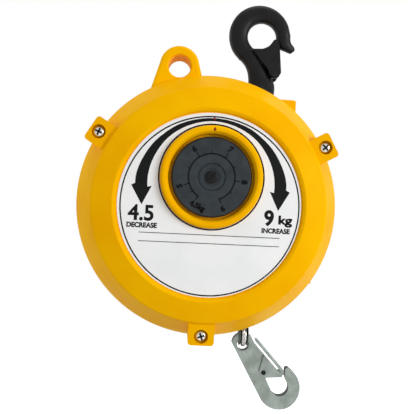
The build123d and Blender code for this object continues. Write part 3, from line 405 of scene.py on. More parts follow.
def smooth_path(points, per_span=6):
    """Catmull-Rom points through rows of numbers."""
    rows = [points[0]] + list(points) + [points[-1]]
    out = []
    for i in range(1, len(rows) - 2):
        for s in range(per_span):
            t = s / per_span
            out.append(tuple(
                0.5 * (2 * b + (c - a) * t + (2 * a - 5 * b + 4 * c - d) * t * t
                       + (3 * b - a - 3 * c + d) * t ** 3)
                for a, b, c, d in zip(rows[i - 1], rows[i], rows[i + 1], rows[i + 2])))
    out.append(tuple(points[-1]))
    return out


print("helpers ready")

# %% [markdown]
# ## Broken edges on the solid parts
# A solid model's edges are sharp, and no real edge is. For parts whose shape is right, a copy of the mesh
# has its flat faces joined again, and a bevel modifier rounds every edge that turns by more than 30
# degrees. The copy then stands for the node.

# %% Rounded copies
def soften(node, name, width, body, segments=3):
    """A copy of a node's mesh with rounded edges, which replaces the node."""
    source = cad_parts[node]
    bm = bmesh.new()
    bm.from_mesh(source.data)
    bmesh.ops.remove_doubles(bm, verts=bm.verts, dist=1e-6)
    bmesh.ops.dissolve_limit(bm, angle_limit=math.radians(1.0), verts=bm.verts, edges=bm.edges)
    data = bpy.data.meshes.new(name)
    bm.to_mesh(data)
    bm.free()
    piece = dress(name, data, source.data.materials[0], body)
    round_edges(piece, width, segments, turn=30, clamp=False)
    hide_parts(node)


soften("rear_case", "cast_rear_case", 1.1, "case")
soften("shaft_nut", "shaft_end_nut", 0.5, "case", segments=2)
soften("hanger_nut", "hook_stem_nut", 0.5, "hanger", segments=2)
soften("hook_gate", "sprung_gate", 0.25, "gate", segments=2)
print("softened", 4)

# %% [markdown]
# ## Front cover
# The cover is the face of the balancer. In the solid model its ridges are sharp, so here the same
# profile is spun with the radii that a casting needs to leave its mould. The label's floor and the raised
# dial bezel don't share an axis: two rings with equal counts of points are bridged to join them.

# %% Cover shell
JOINT_Y = -22.0
DIAL_UP = 20.0
STEPS = 192

rim_profile = rounded([
    (96.0, JOINT_Y, 0), (100.0, JOINT_Y, 0), (100.0, JOINT_Y - 3.0, 2.5), (84.5, JOINT_Y - 32.0, 1.8),
    (69.0, JOINT_Y - 36.2, 1.3), (66.9, JOINT_Y - 35.2, 0.6), (66.5, JOINT_Y - 33.5, 0.3),
    (66.0, JOINT_Y - 33.5, 0),
], steps=8)
bezel_profile = rounded([
    (36.9, JOINT_Y - 33.5, 0), (36.5, JOINT_Y - 33.5, 0.2), (36.4, JOINT_Y - 37.6, 1.4),
    (34.9, JOINT_Y - 38.9, 1.2), (32.3, JOINT_Y - 38.8, 1.3), (31.0, JOINT_Y - 35.6, 1.0),
    (30.6, JOINT_Y - 30.2, 0.4), (3.4, JOINT_Y - 30.2, 0),
], steps=7)


def ring_rows(profile, up):
    """Rings of points of an open profile about the case axis, or about one above it."""
    rows = []
    for r, y in profile:
        rows.append([(CASE_X + r * math.cos(2 * math.pi * i / STEPS), y,
                      CASE_Z + up + r * math.sin(2 * math.pi * i / STEPS)) for i in range(STEPS)])
    return rows


cover_verts, cover_faces = skin(ring_rows(rim_profile, 0) + ring_rows(bezel_profile, DIAL_UP))
cover_data = bpy.data.meshes.new("cover_shell")
cover_data.from_pydata(cover_verts, [], cover_faces)
cover_shell = dress("cover_shell", cover_data, yellow_enamel, "case")
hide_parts("front_cover")
print("cover shell faces", len(cover_data.polygons))

# %% [markdown]
# ## Screw pillars
# Three pillars carry the screws. Each is a block with rounded corners that stands out of the tapered side,
# with the screw's head sunk in a round recess. A plate with one hole, beveled, gives the block, and a thin
# turned disc closes the recess behind the head.

# %% Pillars
PILLAR_FACE = JOINT_Y - 29.0
PILLAR_ANGLES = (30, 150, 270)
SCREW_R = 95.0
RECESS_R, RECESS_DEPTH = 5.1, 3.6
SEAT_Y = PILLAR_FACE + RECESS_DEPTH


def pillar_place(angle):
    """Turn a pillar drawn on the right side to its own angle about the case axis."""
    turn = Matrix.Rotation(-math.radians(angle), 4, "Y")
    return Matrix.Translation((CASE_X * MM, 0, CASE_Z * MM)) @ turn


def screw_place(angle):
    """Where a case screw's axis stands, in X and Z."""
    a = math.radians(angle)
    return CASE_X + SCREW_R * math.cos(a), CASE_Z + SCREW_R * math.sin(a)


pillar_outline = rounded([(80.0, -9.6, 0), (101.5, -9.6, 2.5), (101.5, 9.6, 2.5), (80.0, 9.6, 0)],
                         steps=6, closed=True)
recess_mouth = circle(SCREW_R, 0, RECESS_R, 48)
floor_disc = [(0, SEAT_Y), (5.4, SEAT_Y), (5.4, SEAT_Y + 1.4), (0, SEAT_Y + 1.4)]
for index, angle in enumerate(PILLAR_ANGLES):
    pillar = plate_piece(f"cover_pillar_{index + 1}", pillar_outline, [recess_mouth], PILLAR_FACE, JOINT_Y,
                         yellow_enamel, "case", edge=0.9, place=pillar_place(angle),
                         segments=4)
    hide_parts("front_cover")
    x, z = screw_place(angle)
    turned_piece(f"recess_floor_{index + 1}", floor_disc, yellow_enamel, "case", x, z, 48)
print("pillars 3")

# %% [markdown]
# ## Screws
# A cross-recessed pan head is a low dome with a cross pressed into it. The dome is turned, and a boolean
# modifier cuts the cross that a punch makes in the real one.

# %% Case screws
def cross_cutter(name, x, z, y, turn, width, reach, depth):
    """Two crossed blades that cut a recess."""
    bm = bmesh.new()
    for quarter in (0, 90):
        blade = bmesh.ops.create_cube(bm, size=1.0)["verts"]
        shape = Matrix.Diagonal((reach * MM, 2 * depth * MM, width * MM, 1))
        spun = Matrix.Rotation(math.radians(turn + quarter), 4, "Y")
        bmesh.ops.transform(bm, matrix=spun @ shape, verts=blade)
    bmesh.ops.translate(bm, verts=bm.verts, vec=(x * MM, y * MM, z * MM))
    data = bpy.data.meshes.new(name)
    bm.to_mesh(data)
    bm.free()
    return data


def cut(piece, cutter_data):
    """Take a cutter's shape out of a piece and throw the cutter away."""
    cutter = new_object("cutter", cutter_data)
    modifier = piece.modifiers.new("recess", "BOOLEAN")
    modifier.object, modifier.operation, modifier.solver = cutter, "DIFFERENCE", "EXACT"
    modifier.use_self = True
    bpy.context.view_layer.update()
    cut_mesh = bpy.data.meshes.new_from_object(piece.evaluated_get(bpy.context.evaluated_depsgraph_get()))
    piece.modifiers.clear()
    piece.data = cut_mesh
    bpy.data.objects.remove(cutter)
    cut_mesh.set_sharp_from_angle(angle=SHARP)


SCREW_TURNS = (45, 20, 70)
HEAD_H = 3.0
screw_head = rounded([(0, SEAT_Y - HEAD_H, 0), (2.6, SEAT_Y - 2.9, 2), (4.4, SEAT_Y - 1.5, 1.4),
                      (4.4, SEAT_Y, 0), (0, SEAT_Y, 0)], steps=6)
for index, (angle, cross_turn) in enumerate(zip(PILLAR_ANGLES, SCREW_TURNS)):
    x, z = screw_place(angle)
    screw = turned_piece(f"case_screw_{index + 1}", screw_head, nickel_plate, "case", x, z,
                         64)
    cross = cross_cutter("cross", x, z, SEAT_Y - HEAD_H, cross_turn, width=1.35, reach=5.6, depth=2.3)
    cut(screw, cross)
    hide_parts("case_screws")
    # A thin dark cross laid in the foot of each recess is painted shade.
    shade_cross = cross_cutter("recess_painted_shade", x, z, SEAT_Y - 1.6, cross_turn, width=1.3, reach=5.0, depth=0.9)
    dress(f"recess_painted_shade_{index + 1}", shade_cross, forged_black, "case", smooth=False)
print("screws 3")

# %% [markdown]
# ## Label print
# The print is modelled as thin skins of ink that lie on the film, so it stays sharp at any distance and
# goes with the mesh when it is exported. The two arrows are bands between an outer and an inner edge that
# part slowly from the top down to the arrowheads.

# %% Rings, arrows and rules
LABEL_Y = -55.9
INK = 0.05


def print_shape(name, outline, holes=(), material=ink_black, y=LABEL_Y, thick=INK, body="case"):
    """A flat skin of ink on a face that looks to the front."""
    data = plate_mesh(name, outline, list(holes), y, y - thick)
    return dress(name, data, material, body, smooth=False)


def ring_print(name, cx, cz, r, width):
    """A printed circle line on the label."""
    outer, inner = (circle(cx, cz, r + half, 144) for half in (width / 2, -width / 2))
    return print_shape(name, outer, [inner])


# The film was laid on a little off the case's axis and a little turned.
PRINT_X, PRINT_Z = CASE_X + 0.4, CASE_Z - 0.7
LABEL_ROLL = 0.85
ring_print("label_outer_line", PRINT_X, PRINT_Z, 63.7, 1.0)
ring_print("label_inner_line", CASE_X, CASE_Z + DIAL_UP, 37.5, 1.1)


def on_label(r, angle):
    """Point at a radius and an angle, which is counted from the label's own right side."""
    a = math.radians(angle + LABEL_ROLL)
    return (PRINT_X + r * math.cos(a), PRINT_Z + r * math.sin(a))


# Angle from the label's top, then the radius of the arrow's outer and inner edge.
ARROW_EDGES = [(0, 62.6, 60.4), (5, 62.6, 60.3), (15, 62.4, 59.6), (25, 62.1, 58.5), (35, 61.1, 56.9),
               (45, 60.3, 54.6), (55, 59.0, 52.2), (65, 57.8, 49.6), (71, 56.8, 47.9), (75.5, 55.6, 46.6)]
ARROW_HEAD = [(77.5, 57.9), (91.2, 48.7), (73.6, 43.9)]


def arrow_band(side):
    """Outline of one arrow: outer edge, head, then inner edge back to the top."""
    rows = smooth_path(ARROW_EDGES, 5)
    outer = [on_label(row[1], 90 + side * row[0]) for row in rows]
    inner = [on_label(row[2], 90 + side * row[0]) for row in rows]
    head = [on_label(r, 90 + side * angle) for angle, r in ARROW_HEAD]
    return outer + head + inner[::-1]


for side, name in ((1, "decrease_arrow"), (-1, "increase_arrow")):
    print_shape(name, arrow_band(side))

tick = [on_label(r, angle) for r, angle in ((63.3, 90.5), (60.8, 90.35), (60.8, 89.65), (63.3, 89.5))]
print_shape("top_tick", tick, material=paint_red, y=LABEL_Y - INK, thick=0.1)

RULES = [((-49.0, -21.8), (51.4, -20.3)), ((-49.0, -27.9), (51.4, -26.3))]
for row, ((x0, z0), (x1, z1)) in enumerate(RULES):
    print_shape(f"rule_{row + 1}", [(CASE_X + x0, CASE_Z + z0), (CASE_X + x1, CASE_Z + z1),
                                    (CASE_X + x1, CASE_Z + z1 - 0.5), (CASE_X + x0, CASE_Z + z0 - 0.5)])
print("label print done")

# %% [markdown]
# Figures are text objects. Turned into a mesh with a little thickness they become ink like the rest. Their
# size is given by the height of a capital, which is about 0.7 of the font size in Blender's own font.

# %% Figures on the label
CAPITAL = 0.7


def embolden(bm, by):
    """Move the outline of a flat figure outward, which makes its strokes bolder."""
    push = {}
    for edge in [e for e in bm.edges if len(e.link_faces) == 1]:
        a, b = edge.verts
        along = b.co - a.co
        out = Vector((along.y, -along.x, 0)).normalized()
        if out.dot(edge.link_faces[0].calc_center_median() - (a.co + b.co) / 2) > 0:
            out = -out
        for v in (a, b):
            push.setdefault(v, []).append(out)
    for v, outs in push.items():
        way = sum(outs, Vector()).normalized()
        v.co += way * by / max(way.dot(outs[0]), 0.6)


def lettering(name, text, x, z, height, material, y, body, turn=0.0, thick=INK, heavy=0.0, narrow=1.0):
    """Flat printed text whose middle is at x, z, on a face that looks to the front."""
    curve = bpy.data.curves.new(name, "FONT")
    curve.body, curve.size = text, height / CAPITAL * MM
    holder = new_object(name, curve)
    bpy.context.view_layer.update()
    data = bpy.data.meshes.new_from_object(holder.evaluated_get(bpy.context.evaluated_depsgraph_get()))
    bpy.data.objects.remove(holder)
    bm = bmesh.new()
    bm.from_mesh(data)
    bmesh.ops.remove_doubles(bm, verts=bm.verts, dist=1e-6)
    embolden(bm, heavy * MM)
    low = Vector([min(v.co[i] for v in bm.verts) for i in range(3)])
    high = Vector([max(v.co[i] for v in bm.verts) for i in range(3)])
    grown = bmesh.ops.extrude_face_region(bm, geom=bm.faces[:])
    lifted = [g for g in grown["geom"] if isinstance(g, bmesh.types.BMVert)]
    bmesh.ops.translate(bm, verts=lifted, vec=(0, 0, thick * MM))
    bm.to_mesh(data)
    bm.free()
    centre = Matrix.Translation(-(low + high) / 2)
    stand = Matrix.Rotation(math.pi / 2, 4, "X") @ Matrix.Diagonal((narrow, 1, 1, 1))
    place = Matrix.Translation((x * MM, y * MM, z * MM)) @ Matrix.Rotation(-math.radians(turn), 4, "Y")
    data.transform(place @ stand @ centre)
    data.materials.clear()
    return dress(name, data, material, body, smooth=False)


# Name, text, place from the case's axis, height of a capital, boldness, width against the font's own.
LABEL_WORDS = [
    ("figure_4_5", "4.5", -48.4, -8.2, 10.6, 0.42, 1.0),
    ("figure_9", "9", 42.9, -6.6, 10.4, 0.55, 0.95),
    ("unit_kg", "kg", 54.8, -8.3, 5.9, 0.36, 1.3),
    ("word_decrease", "DECREASE", -47.2, -16.9, 3.3, 0.24, 0.97),
    ("word_increase", "INCREASE", 48.3, -15.5, 3.3, 0.24, 0.97),
]
for name, text, x, z, height, heavy, narrow in LABEL_WORDS:
    lettering(name, text, CASE_X + x, CASE_Z + z, height, ink_black, LABEL_Y, "case",
              turn=LABEL_ROLL, heavy=heavy, narrow=narrow)
print("figures done")

# %% [markdown]
# ## Load dial
# The dial is a stepped moulding with two fine rings round its screw. Its face carries a printed arc with a
# tick at each whole and half value, one more between 4.5 and 5, and the figures from 4.5 to 9 kg. A red
# mark on the bezel above it shows where to read.

# %% Dial body
FACE_Y = -57.5
DIAL_X, DIAL_Z = CASE_X, CASE_Z + DIAL_UP
dial_profile = rounded([
    (0, FACE_Y + 0.9, 0), (6.0, FACE_Y + 0.9, 0.2), (6.2, FACE_Y + 0.35, 0.2), (9.0, FACE_Y + 0.35, 0.2),
    (9.3, FACE_Y + 0.9, 0.15), (9.8, FACE_Y + 0.9, 0.15), (10.1, FACE_Y + 0.1, 0.25), (27.6, FACE_Y, 0.9),
    (28.9, FACE_Y + 1.4, 0.5), (28.9, FACE_Y + 5.0, 0.3), (0, FACE_Y + 5.0, 0),
], steps=5)
dial_body = turned_piece("dial_body", dial_profile, dial_abs, "dial", DIAL_X, DIAL_Z, 144)
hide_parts("load_dial")

screw_profile = rounded([(0, FACE_Y - 1.0, 0), (3.4, FACE_Y - 0.8, 2.0), (4.7, FACE_Y + 0.1, 0.5),
                         (4.7, FACE_Y + 0.95, 0.2), (0, FACE_Y + 0.95, 0)], steps=5)
dial_screw = turned_piece("dial_screw_head", screw_profile, forged_black, "dial", DIAL_X,
                          DIAL_Z, 72)
# One blade of the cross cutter makes the slot, so the second one is deleted.
slot_data = cross_cutter("slot", DIAL_X, DIAL_Z, FACE_Y - 1.0, -50, width=1.1, reach=12.0, depth=0.9)
bm = bmesh.new()
bm.from_mesh(slot_data)
bmesh.ops.delete(bm, geom=[v for v in bm.verts if v.index >= 8], context="VERTS")
bm.to_mesh(slot_data)
bm.free()
cut(dial_screw, slot_data)
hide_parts("dial_screw")

# %% Dial print
def through(a, b, c, steps=20):
    """Arc through three points."""
    ax, ay, bx, by, cx, cy = *a, *b, *c
    d = 2 * (ax * (by - cy) + bx * (cy - ay) + cx * (ay - by))
    aa, bb, cc = (px ** 2 + py ** 2 for px, py in (a, b, c))
    ux = (aa * (by - cy) + bb * (cy - ay) + cc * (ay - by)) / d
    uy = (aa * (cx - bx) + bb * (ax - cx) + cc * (bx - ax)) / d
    r = math.hypot(ax - ux, ay - uy)
    start, mid, end = (math.atan2(y - uy, x - ux) for x, y in (a, b, c))
    if (mid - start) % (2 * math.pi) > (end - start) % (2 * math.pi):
        end = start - (start - end) % (2 * math.pi)
    else:
        end = start + (end - start) % (2 * math.pi)
    return arc(ux, uy, r, math.degrees(start), math.degrees(end), steps)


def band(cx, cz, r, width, start, end, steps=60):
    """Outline of a curved line."""
    return arc(cx, cz, r + width / 2, start, end, steps) + arc(cx, cz, r - width / 2, end, start, steps)


PAD_INK = 0.06


def dial_print(name, outline):
    """A mark printed on the dial, which turns with it."""
    return print_shape(name, outline, material=dial_ink, y=FACE_Y, thick=PAD_INK, body="dial")


dial_print("scale_arc", band(DIAL_X, DIAL_Z, 16.6, 1.0, -67.6, 238.4))
# Angle and length of each tick; the longer ones stand at a figure.
TICKS = [(238, 3.2), (219, 2.0), (199.2, 4.0), (162, 2.0), (125, 4.0), (92, 2.6), (58.7, 4.0),
         (26.6, 2.2), (-5.5, 3.6), (-36, 2.2), (-67.2, 3.4)]
for index, (angle, length) in enumerate(TICKS):
    a = math.radians(angle)
    wide = 0.36 if length > 3 else 0.24
    across = (-math.sin(a) * wide, math.cos(a) * wide)
    near = (DIAL_X + 16.3 * math.cos(a), DIAL_Z + 16.3 * math.sin(a))
    far = (DIAL_X + (16.5 + length) * math.cos(a), DIAL_Z + (16.5 + length) * math.sin(a))
    corners = [(end[0] + side * across[0], end[1] + side * across[1])
               for end, side in ((near, -1), (far, -1), (far, 1), (near, 1))]
    dial_print(f"tick_{index + 1}", corners)

# Text, angle round the dial, radius, height and turn of each figure.
DIAL_FIGURES = [
    ("5", 199.2, 23.6, 3.6, 109), ("6", 125.4, 23.4, 4.0, 35), ("7", 58.7, 23.6, 4.0, -31),
    ("8", -5.5, 23.6, 4.0, -95), ("9", -67.2, 23.6, 4.0, -157), ("4.5kg", 247, 23.4, 3.7, -23),
]
for text, angle, r, height, turn in DIAL_FIGURES:
    a = math.radians(angle)
    lettering(f"dial_{text.replace('.', '_')}", text, DIAL_X + r * math.cos(a), DIAL_Z + r * math.sin(a),
              height, dial_ink, FACE_Y, "dial", turn=turn, thick=PAD_INK, heavy=0.36)

MARK_UP = 33.6
drop = through((-0.95, -0.3), (0, -1.3), (0.95, -0.3), 8) + [(0.4, 1.2), (-0.4, 1.2)]
print_shape("index_mark", [(DIAL_X + x, DIAL_Z + MARK_UP + z) for x, z in drop], material=paint_red,
            y=JOINT_Y - 38.75, thick=0.2)
print("dial done")

# %% [markdown]
# ## Forged top hook
# A forging has no flat sides: its section is a full oval that changes along the hook. The hook is skinned
# from ovals whose two edges follow nearly the outline of the solid one. Each row below is an inner and an
# outer edge point with the half thickness there, from the nose over the bowl and down into the neck.

# %% Hook sections
# The bowl lies between two circles. The outer one's centre stands a little aside of the inner one's.
BOWL_R, CROWN_R = 11.8, 25.28
CROWN_SHIFT = Vector((-2.0, 0.5))


def bowl_row(angle, thick):
    """Inner and outer edge of the round part of the hook at an angle."""
    a = math.radians(angle)
    ray = Vector((math.cos(a), math.sin(a)))
    along = ray.dot(CROWN_SHIFT)
    reach = along + math.sqrt(along ** 2 - CROWN_SHIFT.length_squared + CROWN_R ** 2)
    return (BOWL_R * ray.x, BOWL_R * ray.y, reach * ray.x, reach * ray.y, thick)


hook_rows = [
    (24.9, -11.2, 27.9, -8.4, 1.2), (23.6, -11.2, 27.0, -5.9, 2.6), (19.6, -9.7, 24.6, -3.4, 3.9),
    (14.6, -7.6, 23.6, -0.6, 4.8), (11.9, -2.6, 23.4, 3.0, 5.2),
]
hook_rows += [bowl_row(angle, 5.5) for angle in range(12, 229, 18)]
hook_rows += [
    (-7.2, -9.5, -18.2, -18.9, 5.5), (-4.8, -10.9, -15.0, -21.4, 5.5), (-1.0, -17.2, -12.0, -25.2, 5.5),
    (3.6, -24.8, -10.2, -29.4, 5.5), (8.2, -31.6, -9.3, -34.0, 5.5), (12.0, -37.0, -9.0, -38.6, 5.6),
    (12.9, -42.0, -9.0, -42.5, 6.4), (12.6, -47.2, -9.2, -47.2, 8.6),
]


def oval(row, count=28, power=2.5):
    """Closed section across the hook between its two edge points."""
    ax, az, bx, bz, thick = row
    mid = Vector(((ax + bx) / 2, (az + bz) / 2))
    half = Vector(((bx - ax) / 2, (bz - az) / 2))
    points = []
    for k in range(count):
        t = 2 * math.pi * k / count
        c, s = math.cos(t), math.sin(t)
        u = math.copysign(abs(c) ** (2 / power), c)
        v = math.copysign(abs(s) ** (2 / power), s)
        points.append((mid.x + half.x * u, thick * v, mid.y + half.y * u))
    return points


hook_verts, hook_faces = skin([oval(row) for row in smooth_path(hook_rows, 5)])
hook_data = bpy.data.meshes.new("forged_hook")
hook_data.from_pydata(hook_verts, [], hook_faces)
forged_hook = dress("forged_hook", hook_data, forged_black, "hanger")
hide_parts("hanger_hook")
print("hook sections", len(hook_rows))

# %% [markdown]
# The latch is pressed from sheet and folded astride the hook. Each cheek follows the bowl with a hollow
# upper edge that ends in a horn beside the nose. A web along the outer edge joins the two cheeks. The
# rivet's heads stand out a little on both sides.

# %% Latch
CHEEK_IN, CHEEK_OUT = 5.85, 7.35
PIVOT_X, PIVOT_Z = 10.2, -31.1
PRESSED_EDGE = 0.4
cheek_outline = rounded([
    (-8.2, -11.9, 0.5), (-4.4, -11.6, 6), (0.6, -11.3, 8), (5.6, -8.6, 8), (9.2, -3.0, 1.5),
    (11.9, -3.0, 1.2), (14.0, -8.2, 4), (16.4, -29.6, 1.4), (14.6, -33.2, 2.0), (11.4, -34.9, 1.6),
    (7.6, -32.6, 2.0), (5.6, -27.6, 3.0),
], steps=5, closed=True)
rivet_hole = circle(PIVOT_X, PIVOT_Z, 2.1, 24)
for side, name in ((-1, "front"), (1, "rear")):
    cheek = plate_piece(f"latch_cheek_{name}", cheek_outline, [rivet_hole], side * CHEEK_IN, side * CHEEK_OUT,
                        forged_black, "latch", edge=PRESSED_EDGE)
    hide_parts("hook_latch")
    head = rounded([(0, side * 8.4, 0), (2.2, side * 8.2, 0.8), (2.9, side * CHEEK_OUT, 0.2),
                    (2.0, side * 7.3, 0), (2.0, 0, 0), (0, 0, 0)], steps=5)
    rivet = turned_piece(f"latch_rivet_{name}", head, forged_black, "latch", PIVOT_X,
                         PIVOT_Z, 40)
    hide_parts("latch_pin")
web_outline = [(14.0, -13.0), (16.1, -29.0), (14.4, -29.0), (12.6, -13.0)]
web = plate_piece("latch_web", web_outline, [], -CHEEK_OUT + 0.3, CHEEK_OUT - 0.3, forged_black, "latch",
                  edge=PRESSED_EDGE)
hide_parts("hook_latch")
print("latch pieces 5")

# %% [markdown]
# The collar and the stem below the neck are turned about the load line, which is the vertical axis. The
# same spin helper works after a quarter turn of its result.

# %% Collar and stem
def upright_piece(name, profile, material, body, steps=72):
    """A piece spun about the load line from (radius, z) points."""
    verts, faces = spin([(r, z) for r, z in profile], 0, 0, steps)
    data = bpy.data.meshes.new(name)
    data.from_pydata([(x, -z, y) for x, y, z in verts], [], faces)
    return dress(name, data, material, body)


stem = rounded([(0, -46.0, 0), (9.2, -46.0, 0.8), (10.3, -47.6, 0.8), (10.3, -50.5, 0.6), (5.0, -50.5, 0),
                (5.0, -88.2, 0), (4.2, -89.0, 0), (0, -89.0, 0)], steps=5)
hook_stem = upright_piece("hook_stem", stem, forged_black, "hanger")
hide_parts("hanger_hook")

# %% [markdown]
# ## Load hook
# The load hook is blanked from 6 mm plate. Its outline is drawn along its own axes and then turned to the
# leaning place in which it hangs. A small bevel stands for the tumbled edges.

# %% Plate hook
EYE_Z, TILT = -252.7, 30.6
# The gate's pivot, right of the eye and below it, and how far its end reaches from there.
GATE_X, GATE_DOWN, GATE_REACH = 4.6, 28.0, 18.1


def lean(x, z):
    """From the hook's own axes to its stored place."""
    a = math.radians(TILT)
    return (x * math.cos(a) - z * math.sin(a), EYE_Z + x * math.sin(a) + z * math.cos(a))


def gate_path(d):
    """Inner side of the tip, just outside the path of the gate's end."""
    return (GATE_X + math.sqrt(GATE_REACH ** 2 - (d - GATE_DOWN) ** 2), -d)


def right_edge(d):
    """Right side of the shank, which widens on its way down."""
    return (9.3 + 0.2295 * (d - 5.7), -d)


hook_outline = (
    [(-7.4, -46.3)]
    + through((-7.4, 5.47), (0, 9.2), (9.11, 1.28))
    + [right_edge(5.0), right_edge(28.5), (4.0, -33.6)]
    + through((3.6, -43.6), (10.8, -52.8), (18.0, -43.6))
    + through(gate_path(39.5), gate_path(37.0), gate_path(34.8), 6)
    + through(gate_path(34.8), (23.4, -34.0), (25.2, -36.2), 6)[1:]
    + through((25.2, -36.2), (27.6, -46.3), (10.2, -63.7), 24)[1:]
    + through((10.2, -63.7), (-2.33, -58.31), (-7.4, -46.3), 16)[1:-1]
)
outline = [lean(x, z) for x, z in hook_outline]
eye = [lean(x, z) for x, z in circle(0, 0, 4.8, 48)]
load_hook = plate_piece("plate_hook", outline, [eye], -3.0, 3.0, zinc_plate, "load_hook",
                        edge=0.7)
# The faces that look to the side are the sheared ones; their darker zinc is painted shade.
load_hook.data.materials.append(zinc_with_painted_shade)
for face in load_hook.data.polygons:
    if abs(face.normal.y) < 0.5:
        face.material_index = 1
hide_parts("load_hook")
print("plate hook points", len(outline))

# %% [markdown]
# ## Wire rope
# A 4 mm hoist rope is six strands laid round a core, each turning once in about 25 mm. Each strand is a
# tube whose centre runs on a helix round the rope's own path. The short piece below the guide belongs to
# the case at its top and to the load line at its foot.

# %% Strands
def frames_along(points):
    """Unit side vectors at each point of a path, turned as little as possible from one to the next."""
    tangents = []
    for i in range(len(points)):
        a, b = points[max(i - 1, 0)], points[min(i + 1, len(points) - 1)]
        tangents.append((Vector(b) - Vector(a)).normalized())
    side = tangents[0].orthogonal().normalized()
    sides = []
    for t in tangents:
        side = (side - t * side.dot(t)).normalized()
        sides.append((side, t.cross(side)))
    return sides


def rope_mesh(name, points, strands=6, lay=25.0, radius=2.0, wire=10):
    """Mesh of a laid rope along points in millimetres."""
    verts, faces, tubes = [], [], []
    strand_r = radius * 0.36
    sides = frames_along(points)
    ring = [2 * math.pi * k / wire for k in range(wire)]
    for s in range(strands):
        travelled, centres = 0.0, []
        for i, p in enumerate(points):
            if i:
                travelled += (Vector(p) - Vector(points[i - 1])).length
            a = 2 * math.pi * (s / strands + travelled / lay)
            u, v = sides[i]
            centres.append(Vector(p) + (radius - strand_r) * (math.cos(a) * u + math.sin(a) * v))
        tubes.append((centres, strand_r))
    for centres, tube_r in tubes + [([Vector(p) for p in points], radius * 0.42)]:
        sections = [[tuple(c + tube_r * (math.cos(a) * u + math.sin(a) * v)) for a in ring]
                    for c, (u, v) in zip(centres, sides)]
        more_verts, more_faces = skin(sections)
        faces += [tuple(i + len(verts) for i in f) for f in more_faces]
        verts += more_verts
    data = bpy.data.meshes.new(name)
    data.from_pydata(verts, [], faces)
    return data


LOOP_R, LOOP_MID = 7.5, -245.2
down_leg = rounded([(-2.1, -236.2, 0), (-LOOP_R, -241.7, 4.0), (-LOOP_R, LOOP_MID, 0)], steps=6)
up_leg = rounded([(LOOP_R, LOOP_MID, 0), (LOOP_R, -241.7, 4.0), (2.1, -236.2, 0)], steps=6)
loop_line = down_leg + arc(0, LOOP_MID, LOOP_R, 180, 360, 28)[1:] + up_leg[1:]
loop_points = [(0, y, z) for y, z in loop_line]
rope_loop = dress("rope_loop", rope_mesh("rope_loop", loop_points), rope_steel, "load_line")
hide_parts("rope_eye")

RUN_TOP, RUN_LENGTH, RUN_STEPS = -220.0, 10.4, 40
run_points = [(0, 0, RUN_TOP - RUN_LENGTH * i / RUN_STEPS) for i in range(RUN_STEPS + 1)]
run_data = rope_mesh("rope_run_strands", run_points)
rope_strands = new_object("rope_run_strands", run_data)
run_data.materials.append(rope_steel)
run_data.shade_smooth()
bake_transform(rope_strands)
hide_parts("rope_run")
print("rope done")

# %% [markdown]
# The ferrule and the thimble are small turned pieces. A pressed ferrule shows two faint flats of the die;
# at this size its rounded ends matter more. The thimble has a hollow outer side in which the rope lies.
# The rubber stopper keeps the mesh of the solid model.

# %% Ferrule and thimble
ferrule = rounded([(0, -229.6, 0), (4.4, -229.6, 0.9), (4.6, -233.1, 8.0), (4.4, -236.6, 0.9),
                   (0, -236.6, 0)], steps=6)
ferrule_piece = upright_piece("pressed_ferrule", ferrule, cast_alloy, "load_line", 48)
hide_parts("rope_ferrule")

thimble_profile = rounded([
    (4.75, -3.1, 0.8), (8.6, -3.5, 0.3), (8.6, -2.9, 0.2), (5.5, -2.2, 1.2), (5.5, 2.2, 1.2),
    (8.6, 2.9, 0.2), (8.6, 3.5, 0.3), (4.75, 3.1, 0.8),
], steps=4, closed=True)
thimble_verts, thimble_faces = spin(thimble_profile, 0, 0, 64)
thimble_data = bpy.data.meshes.new("grooved_thimble")
thimble_data.from_pydata([(y, x, z + LOOP_MID * MM) for x, y, z in thimble_verts], [], thimble_faces)
# The thimble takes the darkened zinc, which paints the shade inside the hook's eye.
thimble = dress("grooved_thimble", thimble_data, zinc_with_painted_shade, "load_line")
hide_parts("rope_thimble")
print("rope fittings done")

# %% [markdown]
# ## Floor, light and camera
# The stage is a pale floor below the hook's longest travel, under a white world. Large area lamps stand
# for soft boxes. The camera's place, turn and lens were worked out from circles and screws whose places
# on the model are known.

# %% Floor
def seen_white(tree):
    """1 for rays from the camera, in gloss and through glass, else 0. They are shown plain white."""
    path = add(tree, "ShaderNodeLightPath")
    direct = add(tree, "ShaderNodeMath", {0: path.outputs["Is Camera Ray"], 1: path.outputs["Is Glossy Ray"]},
                 operation="MAXIMUM")
    return add(tree, "ShaderNodeMath",
               {0: direct.outputs["Value"], 1: path.outputs["Is Transmission Ray"]}, operation="MAXIMUM")


FLOOR_Z, FLOOR_HALF = -1.75, 6
floor_corners = [(x * FLOOR_HALF, y * FLOOR_HALF, FLOOR_Z) for x, y in ((-1, -1), (1, -1), (1, 1), (-1, 1))]
floor_data = bpy.data.meshes.new("studio_floor")
floor_data.from_pydata(floor_corners, [], [(0, 1, 2, 3)])
floor = new_object("studio_floor", floor_data)
floor_paper, tree, shader = finish("white_paper_floor", "#F6F6F6", 0.9, ior=1.45)
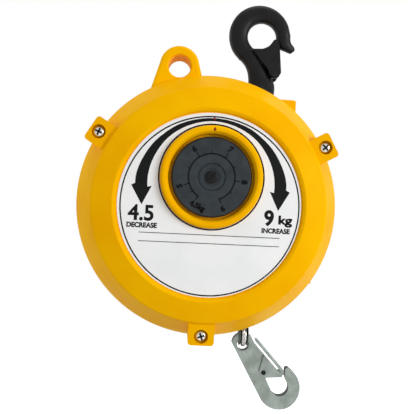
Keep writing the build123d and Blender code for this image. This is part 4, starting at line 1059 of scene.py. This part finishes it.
# Away from the balancer the paper is blown out to white; under it the shadow is kept.
place = add(tree, "ShaderNodeTexCoord")
far = add(tree, "ShaderNodeVectorMath", {0: place.outputs["Object"]}, operation="LENGTH")
fade = add(tree, "ShaderNodeMapRange", {"Value": far.outputs["Value"], "From Min": 1.9, "From Max": 2.6,
                                        "To Min": 0.45, "To Max": 1.0}, interpolation_type="SMOOTHSTEP")
glow_power = add(tree, "ShaderNodeMath", {0: seen_white(tree).outputs["Value"], 1: fade.outputs["Result"]},
                 operation="MULTIPLY")
glow = add(tree, "ShaderNodeEmission", {"Color": colour("#FFFFFF"), "Strength": glow_power.outputs["Value"]})
both = add(tree, "ShaderNodeAddShader", {0: shader.outputs["BSDF"], 1: glow.outputs["Emission"]})
tree.links.new(both.outputs["Shader"], tree.nodes["Material Output"].inputs["Surface"])
floor_data.materials.append(floor_paper)

# %% World and lamps
world = bpy.data.worlds.new("studio_world")
bpy.context.scene.world = world
world.use_nodes = True
tree = world.node_tree
strength = add(tree, "ShaderNodeMapRange",
               {"Value": seen_white(tree).outputs["Value"], "To Min": 0.49, "To Max": 1.0})
sky = tree.nodes["Background"]
sky.inputs["Color"].default_value = colour("#FFFFFF")
tree.links.new(strength.outputs["Result"], sky.inputs["Strength"])


def soft_box(name, place, aim, size, watts):
    """A square area lamp that looks at a point."""
    light = bpy.data.lights.new(name, "AREA")
    light.shape, light.size, light.energy = "SQUARE", size, watts
    lamp = new_object(name, light)
    lamp.location = place
    lamp.rotation_euler = (Vector(aim) - Vector(place)).to_track_quat("-Z", "Y").to_euler()


MIDDLE = (-0.03, 0, -0.14)
soft_box("key_box", (1.10, -1.00, 0.15), MIDDLE, 0.7, 14.0)
soft_box("side_box", (-1.25, 0.15, 0.20), MIDDLE, 0.8, 4.5)
soft_box("top_box", (0.1, -0.1, 0.9), MIDDLE, 0.6, 2.5)

# %% Camera
camera_data = bpy.data.cameras.new("photo_camera")
SENSOR, FOCAL_PX, PICTURE_PX = 36.0, 508.55, 415
camera_data.sensor_width = SENSOR
camera_data.lens = SENSOR * FOCAL_PX / PICTURE_PX
camera_data.clip_start = 0.01
camera = new_object("photo_camera", camera_data)
right = Vector((0.9964132, -0.0552757, 0.06407289))
down = Vector((0.06408722, -0.00151499, -0.99794315))
ahead = Vector((0.05525908, 0.99846998, 0.00203292))
turn = Matrix((right, -down, -ahead)).transposed()
camera.matrix_world = Matrix.Translation((-0.0590055, -0.4166271, -0.1434572)) @ turn.to_4x4()
bpy.context.scene.camera = camera
bpy.context.scene.view_settings.view_transform = "Standard"
print("camera lens", round(camera_data.lens, 2))
